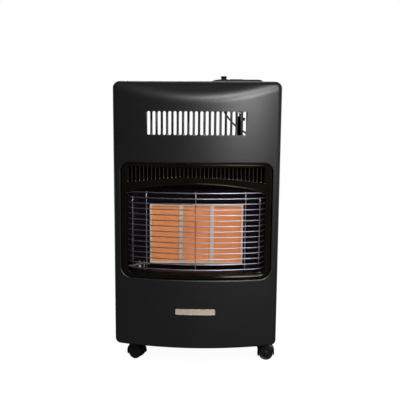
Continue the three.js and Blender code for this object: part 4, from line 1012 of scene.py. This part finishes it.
def make_side_panel(side, name):
    """A side sheet with a folded rear edge, and the laps that close its seams from inside."""
    top = SIDE_HIGH.z - SIDE_SHORT
    outer = side_section(0.0)
    inner = side_section(SHEET)
    rings = []
    for z in (BODY_BOTTOM + 0.2, BODY_BOTTOM + 40.0, (BODY_BOTTOM + top) / 2, top - 0.2):
        rings.append([(side * x, y, z) for x, y in outer + inner[::-1]])
    points, faces = loft(rings)
    count = len(rings[0])
    for start in (0, len(points) - count):
        for i in range(len(outer) - 1):
            faces.append((start + i, start + i + 1, start + count - 2 - i, start + count - 1 - i))
    wall = piece(f"{name}_folded", points, faces, "charcoal_paint", replaced=[name])
    even_shading(wall)
    skin = HALF_WIDTH - SHEET
    lap_out = skin - SIDE_LAP_INSET
    lap_in = lap_out - SHEET
    lap_top = top - SIDE_LAP_END
    near = PANEL_RIM + GAP
    foot = box_shape((skin - SIDE_FOOT, near, BODY_BOTTOM),
                     (skin, SIDE_HIGH.y, BODY_BOTTOM + SHEET))
    front = box_shape((lap_in, PANEL_RIM - SEAM_LAP, BODY_BOTTOM + SIDE_FOOT),
                      (lap_out, near + SIDE_LAP_END, lap_top))
    tongue = box_shape((lap_in, near + SIDE_TONGUE_INSET, lap_top),
                       (lap_out, SIDE_HIGH.y - SIDE_TONGUE_INSET, SIDE_HIGH.z))
    mirror = Matrix.Scale(side, 4, (1, 0, 0))
    laps = combine([placed(shape, mirror) for shape in (foot, front, tongue)])
    flanges = piece(f"{name}_flanges", *laps, "charcoal_paint", smooth=False)
    soften(flanges, 0.3, 1)
    screws = [(side * (HALF_WIDTH - 1.7), y, BODY_BOTTOM + 14.0) for y in (-95.0, 35.0, 165.0)]
    screw_heads(f"{name}_screws", screws, (side, 0, 0))


def louvre_hood(x, z):
    """A lip bent inwards and down behind a louvre slot."""
    lip = []
    for cos, sin in quarter(5):
        drop = (LOUVRE_HEIGHT - LOUVRE_LIP) * (1 - cos)
        lip.append((REAR_HIGH.y - SHEET - LOUVRE_REACH * sin, z + LOUVRE_HEIGHT + 0.2 - drop))
    profile = lip + [(y + 0.6, height - LOUVRE_LIP) for y, height in reversed(lip)]
    return slab(profile, x - LOUVRE_HALF + 0.5, x + LOUVRE_HALF - 0.5)


def make_rear_cover():
    """The lift-off rear cover: a pressed sheet with two columns of louvres and a rolled rim."""
    back = REAR_HIGH.y
    edge = outline(REAR_HIGH.x, REAR_LOW.z, REAR_HIGH.z, 8.0, 8.0)
    field = outline(REAR_HIGH.x - 3.0, REAR_LOW.z + 3.0, REAR_HIGH.z - 3.0, 5.0, 5.0)
    centre = [(0.0, (REAR_LOW.z + REAR_HIGH.z) / 2)] * len(edge)
    rings = [upright(edge, back - 1.0), upright(between(edge, field, 0.4), back - 0.3)]
    for share in (0.0, 0.04, 0.3, 0.6, 0.9):
        rings.append(upright(between(field, centre, share), back))
    cover = piece("rear_cover_pressed", *loft(rings, last=True), "charcoal_paint",
                  body="rear_cover", replaced=["rear_cover"])
    thicken(cover, REAR_SHEET)
    cutters = []
    hoods = []
    for row in range(LOUVRE_COUNT):
        z = LOUVRE_BOTTOM + row * LOUVRE_PITCH
        for x in (-LOUVRE_OFFSET, LOUVRE_OFFSET):
            cutters.append(box_shape((x - LOUVRE_HALF, back - 8, z),
                                     (x + LOUVRE_HALF, back + CUT_REACH, z + LOUVRE_HEIGHT)))
            hoods.append(louvre_hood(x, z))
    cut_out(cover, *combine(cutters))
    even_shading(cover)
    piece("rear_cover_louvres", *combine(hoods), "charcoal_paint", body="rear_cover")
    half = HALF_WIDTH - REAR_RIM_INSET
    low = REAR_LOW.z + REAR_RIM_FOOT
    high = REAR_HIGH.z - 0.6
    rim = outline(half, low, high, 3.0, 3.0)
    inner = outline(half - SHEET, low + SHEET, high - SHEET, 2.0, 2.0)
    near = REAR_LOW.y + 0.1
    far = back - 1.3
    rings = [upright(rim, near), upright(rim, far), upright(inner, far), upright(inner, near),
             upright(rim, near)]
    piece("rear_cover_rim", *loft(rings), "charcoal_paint", body="rear_cover", smooth=False)


# ---- badge

def badge_outline(inset, corner):
    return outline(BADGE_HIGH.x - inset, BADGE_LOW.z + inset, BADGE_HIGH.z - inset, corner, corner)


def badge_ring(inset, depth):
    return bowed(badge_outline(inset, BADGE_CORNER - inset * 0.6), depth)


def drawn_in(ring, depth, shares):
    """Rings running in from the badge's outline to its middle line."""
    half = BADGE_HIGH.x - 7.0
    line = spine(ring, -half, half, (BADGE_LOW.z + BADGE_HIGH.z) / 2)
    return [bowed(between(ring, line, share), depth) for share in shares]


def make_badge():
    """A bare metal plate with a bright raised border, bowed with the panel."""
    back = -GAP
    front = back - BADGE_THICKNESS
    field = front + 0.2
    edge = badge_ring(BADGE_BORDER, field)
    border = [badge_ring(0.0, back), badge_ring(0.0, front + 0.3), badge_ring(0.3, front - 0.1),
              badge_ring(1.0, front - 0.1), edge]
    piece("badge_border", *loft(border), "badge_border")
    face = [edge] + drawn_in(badge_outline(BADGE_BORDER, 1.5), field, (0.25, 0.6, 1.0))
    rear = [badge_ring(0.0, back)] + drawn_in(badge_outline(0.0, BADGE_CORNER), back, (0.5, 1.0))
    piece("badge_face", *combine([loft(face), loft(rear)]), "gold_plate", replaced=["badge_plate"])


# ---- controls

def platform_plan(inset):
    half = (PLATFORM_HIGH.x - PLATFORM_LOW.x) / 2
    centre = (PLATFORM_HIGH.x + PLATFORM_LOW.x) / 2
    corner = PLATFORM_CORNER - inset
    ring = outline(half - inset, PLATFORM_LOW.y + inset, PLATFORM_HIGH.y - inset, corner, corner)
    return [(x + centre, y) for x, y in ring]


def platform_top(x):
    """Height of the platform's top, which falls a little towards both ends."""
    left = PIEZO_X - 11.0
    right = REST_X + REST_HALF
    if x < left:
        return DECK - 3.2 * ((left - x) / (left - PLATFORM_LOW.x)) ** 1.5
    if x > right:
        return DECK - 1.6 * ((x - right) / (PLATFORM_HIGH.x - right)) ** 1.6
    return DECK


def make_platform():
    """The moulded plinth of the controls."""
    base = PLATFORM_LOW.z
    rings = [flat(platform_plan(0.0), base)]
    for cos, sin in quarter(8):
        ring = []
        for x, y in platform_plan(PLATFORM_ROLL * (1 - cos)):
            top = platform_top(x)
            ring.append((x, y, top - (top - base - 0.8) * (1 - sin)))
        rings.append(ring)
    shoulder = platform_plan(PLATFORM_ROLL)
    middle = spine(shoulder, PLATFORM_LOW.x + 30, PLATFORM_HIGH.x - 30, CONTROLS_Y)
    for share in (0.1, 0.4, 0.7, 1.0):
        rings.append([(x, y, platform_top(x)) for x, y in between(shoulder, middle, share)])
    plinth = piece("control_plinth", *loft(rings, first=True), "black_plastic",
                   replaced=["control_platform"])
    cut_control_holes(plinth, base - CUT_REACH, PLATFORM_HIGH.z + CUT_REACH)
    soften(plinth, 0.5, 2, 50.0)


def make_rest():
    """The low pad for the thumb beside the knob."""
    low = CONTROLS_Y - REST_DEPTH / 2
    high = CONTROLS_Y + REST_DEPTH / 2
    edge = outline(REST_HALF, low, high, 5.0, 5.0)
    crown = outline(REST_HALF - 2.5, low + 2.5, high - 2.5, 2.5, 2.5)
    ridge = [(0.0, max(CONTROLS_Y - 8, min(CONTROLS_Y + 8, y))) for x, y in crown]
    rings = [flat(edge, DECK - 1.0, REST_X)]
    for share, height in ((0.0, 0.1), (0.35, 0.6), (0.7, 0.95), (1.0, REST_RISE)):
        rings.append(flat(between(edge, crown, share), DECK + height, REST_X))
    rings.append(flat(ridge, DECK + REST_RISE, REST_X))
    piece("control_rest", *loft(rings, first=True), "black_plastic")


def make_knob():
    """A fluted knob with a raised grip whose ridge is its pointer."""
    radius = KNOB_RADIUS
    low = KNOB_LOW.z
    disc = KNOB_HIGH.z - 2.0
    skirt = [(KNOB_BORE, low), (radius - 0.3, low), (radius - 0.1, low + 0.5),
             (radius - 0.3, low + 1.2)]
    grips = [(radius - 0.9, low + 1.2), (radius - 1.0, disc - 2.0), (radius - 1.3, disc - 1.0),
             (radius - 2.0, disc - 0.35)]
    crown = [(radius - 2.6, disc), (radius - 6.0, disc + 0.1), (KNOB_BORE, disc - 0.2),
             (KNOB_BORE, low)]
    rings = turned_rings(skirt, KNOB_SIDES)
    rings += turned_rings(grips, KNOB_SIDES, FLUTE_DEPTH, FLUTES)
    rings += turned_rings(crown, KNOB_SIDES)
    rings.append(rings[0])
    piece("knob_body", *shifted(loft(rings), KNOB_X, CONTROLS_Y), "black_plastic", body="knob",
          replaced=["control_knob"])
    half = radius - 2.6
    grip = []
    for inset, height in ((0.0, disc - 0.6), (0.0, disc + 0.6), (0.5, disc + 1.4), (1.4, KNOB_HIGH.z)):
        ring = outline(half - inset, -3.5 + inset, 3.5 - inset, 3.4 - inset, 3.4 - inset)
        grip.append(flat(ring, height, KNOB_X, CONTROLS_Y))
    line = spine(outline(half - 1.4, -2.1, 2.1, 2.0, 2.0), -half + 6, half - 6, 0.0)
    grip.append(flat(line, KNOB_HIGH.z, KNOB_X, CONTROLS_Y))
    piece("knob_grip", *loft(grip, first=True), "black_plastic", body="knob")
    mark = box_shape((KNOB_X - half + 1.5, CONTROLS_Y - 0.5, KNOB_HIGH.z - 0.3),
                     (KNOB_X - half + 7.5, CONTROLS_Y + 0.5, KNOB_HIGH.z - 0.02))
    piece("knob_mark", *mark, "white_ceramic", body="knob", smooth=False)


def make_piezo():
    """The igniter's push button, its collar and the barrel under it."""
    radius = (BUTTON_HIGH.x - BUTTON_LOW.x) / 2
    low = BUTTON_LOW.z
    top = BUTTON_HIGH.z
    cap = top - PIEZO_CAP_HEIGHT
    button = [(0.0, low), (PIEZO_WAIST - 0.4, low), (PIEZO_WAIST, low + 0.5),
              (PIEZO_WAIST, cap - 0.4), (PIEZO_WAIST + 0.3, cap), (radius - 0.4, cap),
              (radius - 0.05, cap + 0.4), (radius - 0.05, top - 1.4), (radius - 0.4, top - 0.6),
              (radius - 1.2, top - 0.1), (radius - 2.2, top), (4.0, top - 0.35), (0.0, top - 0.5)]
    piece("piezo_cap", *shifted(turned(button, 48), PIEZO_X, CONTROLS_Y), "black_plastic",
          body="piezo_button", replaced=["piezo_button"])
    low = BARREL_LOW.z
    top = BARREL_HIGH.z
    well = (low + top) / 2 - 1.0
    housing = [(0.0, low), (BARREL_RADIUS - 0.8, low), (BARREL_RADIUS, low + 0.8),
               (BARREL_RADIUS, DECK + 0.3), (10.9, DECK + 0.3), (11.0, DECK + 0.7),
               (10.3, DECK + 1.3), (8.9, top - 0.5), (8.2, top), (PIEZO_BORE + 0.3, top),
               (PIEZO_BORE, top - 0.3), (PIEZO_BORE, well), (0.0, well)]
    piece("piezo_housing", *shifted(turned(housing, 48), PIEZO_X, CONTROLS_Y), "black_plastic",
          replaced=["piezo_barrel"])


# ---- castors

AXLE_TURN = Matrix.Rotation(math.radians(-90), 4, "X")


def fender_shape():
    """The hood's arched fender and its web between the two wheels, in the castor's own frame."""
    half = [(3.2, HOOD_WEB), (HOOD_INNER, HOOD_WEB), (HOOD_INNER, HOOD_HALF - 0.4),
            (HOOD_INNER + 0.3, HOOD_HALF), (HOOD_RADIUS - 0.6, HOOD_HALF),
            (HOOD_RADIUS - 0.15, HOOD_HALF - 0.5), (HOOD_RADIUS, HOOD_HALF - 1.6)]
    section = [(radius, -y) for radius, y in half] + half[::-1]
    rings = []
    for i in range(HOOD_STEPS + 1):
        angle = math.radians(HOOD_START + HOOD_SWEEP * i / HOOD_STEPS)
        rings.append([(radius * math.cos(angle), y, radius * math.sin(angle)) for radius, y in section])
    return loft(rings, first=True, last=True)


def wheel_shape(side):
    """A moulded wheel with a rounded tread, a dished face and a closed hub cap."""
    width = WHEEL_WIDTH
    tread = WHEEL_RADIUS
    profile = [(2.8, 0.0), (17.6, 0.0), (tread - 0.4, 0.4), (tread, 1.4), (tread, width - 2.4),
               (tread - 0.3, width - 1.0), (17.8, width - 0.3), (16.6, width - 0.1),
               (15.4, width - 0.3), (14.8, width - 0.9), (13.6, width - 1.3), (9.0, width - 1.1),
               (5.4, width - 0.9), (4.8, width - 0.5), (4.3, width - 0.2), (2.6, width - 0.05),
               (0.0, width), (0.0, width - 0.85), (2.8, width - 0.85), (2.8, 0.0)]
    shape = placed(shifted(turned(profile, 64), 0, 0, WHEEL_START), AXLE_TURN)
    return shape if side > 0 else placed(shape, Matrix.Scale(-1, 4, (0, 1, 0)))


def make_castor(name, x, y, degrees):
    """A twin-wheel castor: its fender, its head with the stem, and both wheels."""
    local = (Matrix.Translation((x, y, WHEEL_RADIUS))
             @ Matrix.Rotation(math.radians(degrees), 4, "Z")
             @ Matrix.Translation((CASTOR_TRAIL, 0, 0)))
    body = f"castor_{name}"
    piece(f"{body}_fender", *placed(fender_shape(), local), "castor_plastic", body,
          replaced=[f"{body}_hood"])
    shoulder = CASTOR_SHOULDER
    profile = [(0.0, 10.0), (8.0, 10.0), (8.6, 20.0), (9.2, 30.0), (10.4, shoulder - 8.0),
               (12.2, shoulder - 4.0), (12.9, shoulder - 2.6), (13.0, shoulder - 0.8),
               (12.5, shoulder), (STEM_RADIUS, shoulder), (STEM_RADIUS, STEM_TOP - 1.0),
               (STEM_RADIUS - 0.8, STEM_TOP), (0.0, STEM_TOP)]
    head = piece(f"{body}_head", *placed(shifted(turned(profile), -CASTOR_TRAIL, 0), local),
                 "castor_plastic", body)
    clearance = placed(plug(HOOD_INNER + 0.2, -30, 30, 64), AXLE_TURN)
    cut_out(head, *placed(clearance, local))
    for wheel, side in (("a", -1), ("b", 1)):
        wheel_body = f"{body}_wheel_{wheel}"
        piece(f"{wheel_body}_disc", *placed(wheel_shape(side), local), "wheel_plastic", wheel_body,
              replaced=[wheel_body])


# ---- stage

FLOOR_HALF_M = 6.0
FLOOR_COLOR = 0.06
FLOOR_GLOW = 0.96
AMBIENT = 0.6
ROOM = 0.02
WHITE = (1.0, 1.0, 1.0, 1.0)


def calculate(tree, operation, first, second):
    return add(tree, "ShaderNodeMath", {0: first, 1: second}, operation=operation)[0]


def backdrop(tree, vector, start, end):
    """Which rays see white: the camera's, and mirrored ones where a vector's y passes from
    start to end behind the object. The second output is 1 for every mirrored ray.
    """
    rays = add(tree, "ShaderNodeLightPath", {})
    mirrored = calculate(tree, "MAXIMUM", rays["Is Glossy Ray"], rays["Is Transmission Ray"])
    y = add(tree, "ShaderNodeSeparateXYZ", {"Vector": vector})["Y"]
    rise = add(tree, "ShaderNodeMapRange", {"Value": y, "From Min": start, "From Max": end},
               interpolation_type="SMOOTHSTEP")["Result"]
    behind = calculate(tree, "MULTIPLY", mirrored, rise)
    return calculate(tree, "MAXIMUM", rays["Is Camera Ray"], behind), mirrored


def make_floor():
    """A pale floor that keeps the object's shadow and shows white where nothing shades it."""
    material = new_material("floor")
    tree = material.node_tree
    place = add(tree, "ShaderNodeTexCoord", {})["Object"]
    seen = backdrop(tree, place, 0.3, 1.2)[0]
    add_surface(tree, {"Base Color": (FLOOR_COLOR, FLOOR_COLOR, FLOOR_COLOR, 1.0),
                       "Roughness": 0.9, "Specular IOR Level": 0.0, "Emission Color": WHITE,
                       "Emission Strength": calculate(tree, "MULTIPLY", seen, FLOOR_GLOW)})
    size = FLOOR_HALF_M
    data = bpy.data.meshes.new("floor")
    corners = [(-size, -size, 0.0), (size, -size, 0.0), (size, size, 0.0), (-size, size, 0.0)]
    data.from_pydata(corners, [], [(0, 1, 2, 3)])
    data.materials.append(material)
    add_object("floor", data)


def make_world():
    """White wherever the camera looks, a white backdrop behind the object, and a dim room."""
    world = bpy.data.worlds.new("studio")
    bpy.context.scene.world = world
    world.use_nodes = True
    tree = world.node_tree
    tree.nodes.clear()
    direction = add(tree, "ShaderNodeTexCoord", {})["Generated"]
    white, mirrored = backdrop(tree, direction, 0.5, 0.8)
    room = add(tree, "ShaderNodeMix", {"A": AMBIENT, "B": ROOM, "Factor": mirrored})["Result"]
    strength = calculate(tree, "MAXIMUM", white, room)
    light = add(tree, "ShaderNodeBackground", {"Color": WHITE, "Strength": strength})
    add(tree, "ShaderNodeOutputWorld", {"Surface": light["Background"]})


# Name, place and size in metres, and watts.
SOFTBOXES = [("key", (0.55, -1.9, 2.4), 1.0, 0.6, 37.0), ("fill", (0.92, -2.1, 1.26), 0.7, 0.8, 38.0),
             ("side", (2.3, -0.9, 0.7), 0.3, 1.5, 3.0), ("rear", (-0.8, 2.2, 1.6), 1.4, 1.4, 30.0)]
LIT_PLACE = Vector((0.0, -0.1, 0.5))


def make_softbox(name, place, width, height, watts):
    data = bpy.data.lights.new(name, "AREA")
    data.shape = "RECTANGLE"
    data.size = width
    data.size_y = height
    data.energy = watts
    lamp = add_object(name, data)
    lamp.location = place
    lamp.rotation_euler = (LIT_PLACE - Vector(place)).to_track_quat("-Z", "Y").to_euler()


# ---- assembly

FINER_NODES = [("gas_valve", "brass_metal", 1.2), ("injector_rail", "brass_metal", 0.5),
               ("pilot_bracket", "inner_steel", 0.3), ("hose_nozzle", "hose_rubber", 0.4),
               ("hose_clamp_upper", "black_plastic", 0.3), ("piezo_nut", "zinc_metal", 0.6),
               # The heat shield is painted near black as painted shade, not as its own steel colour.
               ("heat_shield", "shade_dark_paint", 0.4), ("burner_plenum", "inner_steel", 0.8)]

bpy.context.scene.view_settings.view_transform = "Standard"
MATERIALS = make_materials()
for subpart in frame["record"]["subparts"]:
    node_materials = frame["nodes"][subpart["node"]].data.materials
    node_materials.clear()
    node_materials.append(MATERIALS[subpart["material_slot"]])

make_camera()
make_hose()
make_igniter_lead()
make_front_panel()
make_bezel()
make_guard()
make_pan()
make_plaque_frame()
make_plaques()
make_top_cover()
make_side_panel(1, "side_panel_right")
make_side_panel(-1, "side_panel_left")
make_rear_cover()
make_badge()
make_platform()
make_rest()
make_knob()
make_piezo()
for castor in CASTORS:
    make_castor(*castor)
for fine_node, fine_slot, fine_width in FINER_NODES:
    softened_node(fine_node, "cabinet", fine_slot, fine_width)
make_floor()
make_world()
for softbox in SOFTBOXES:
    make_softbox(*softbox)
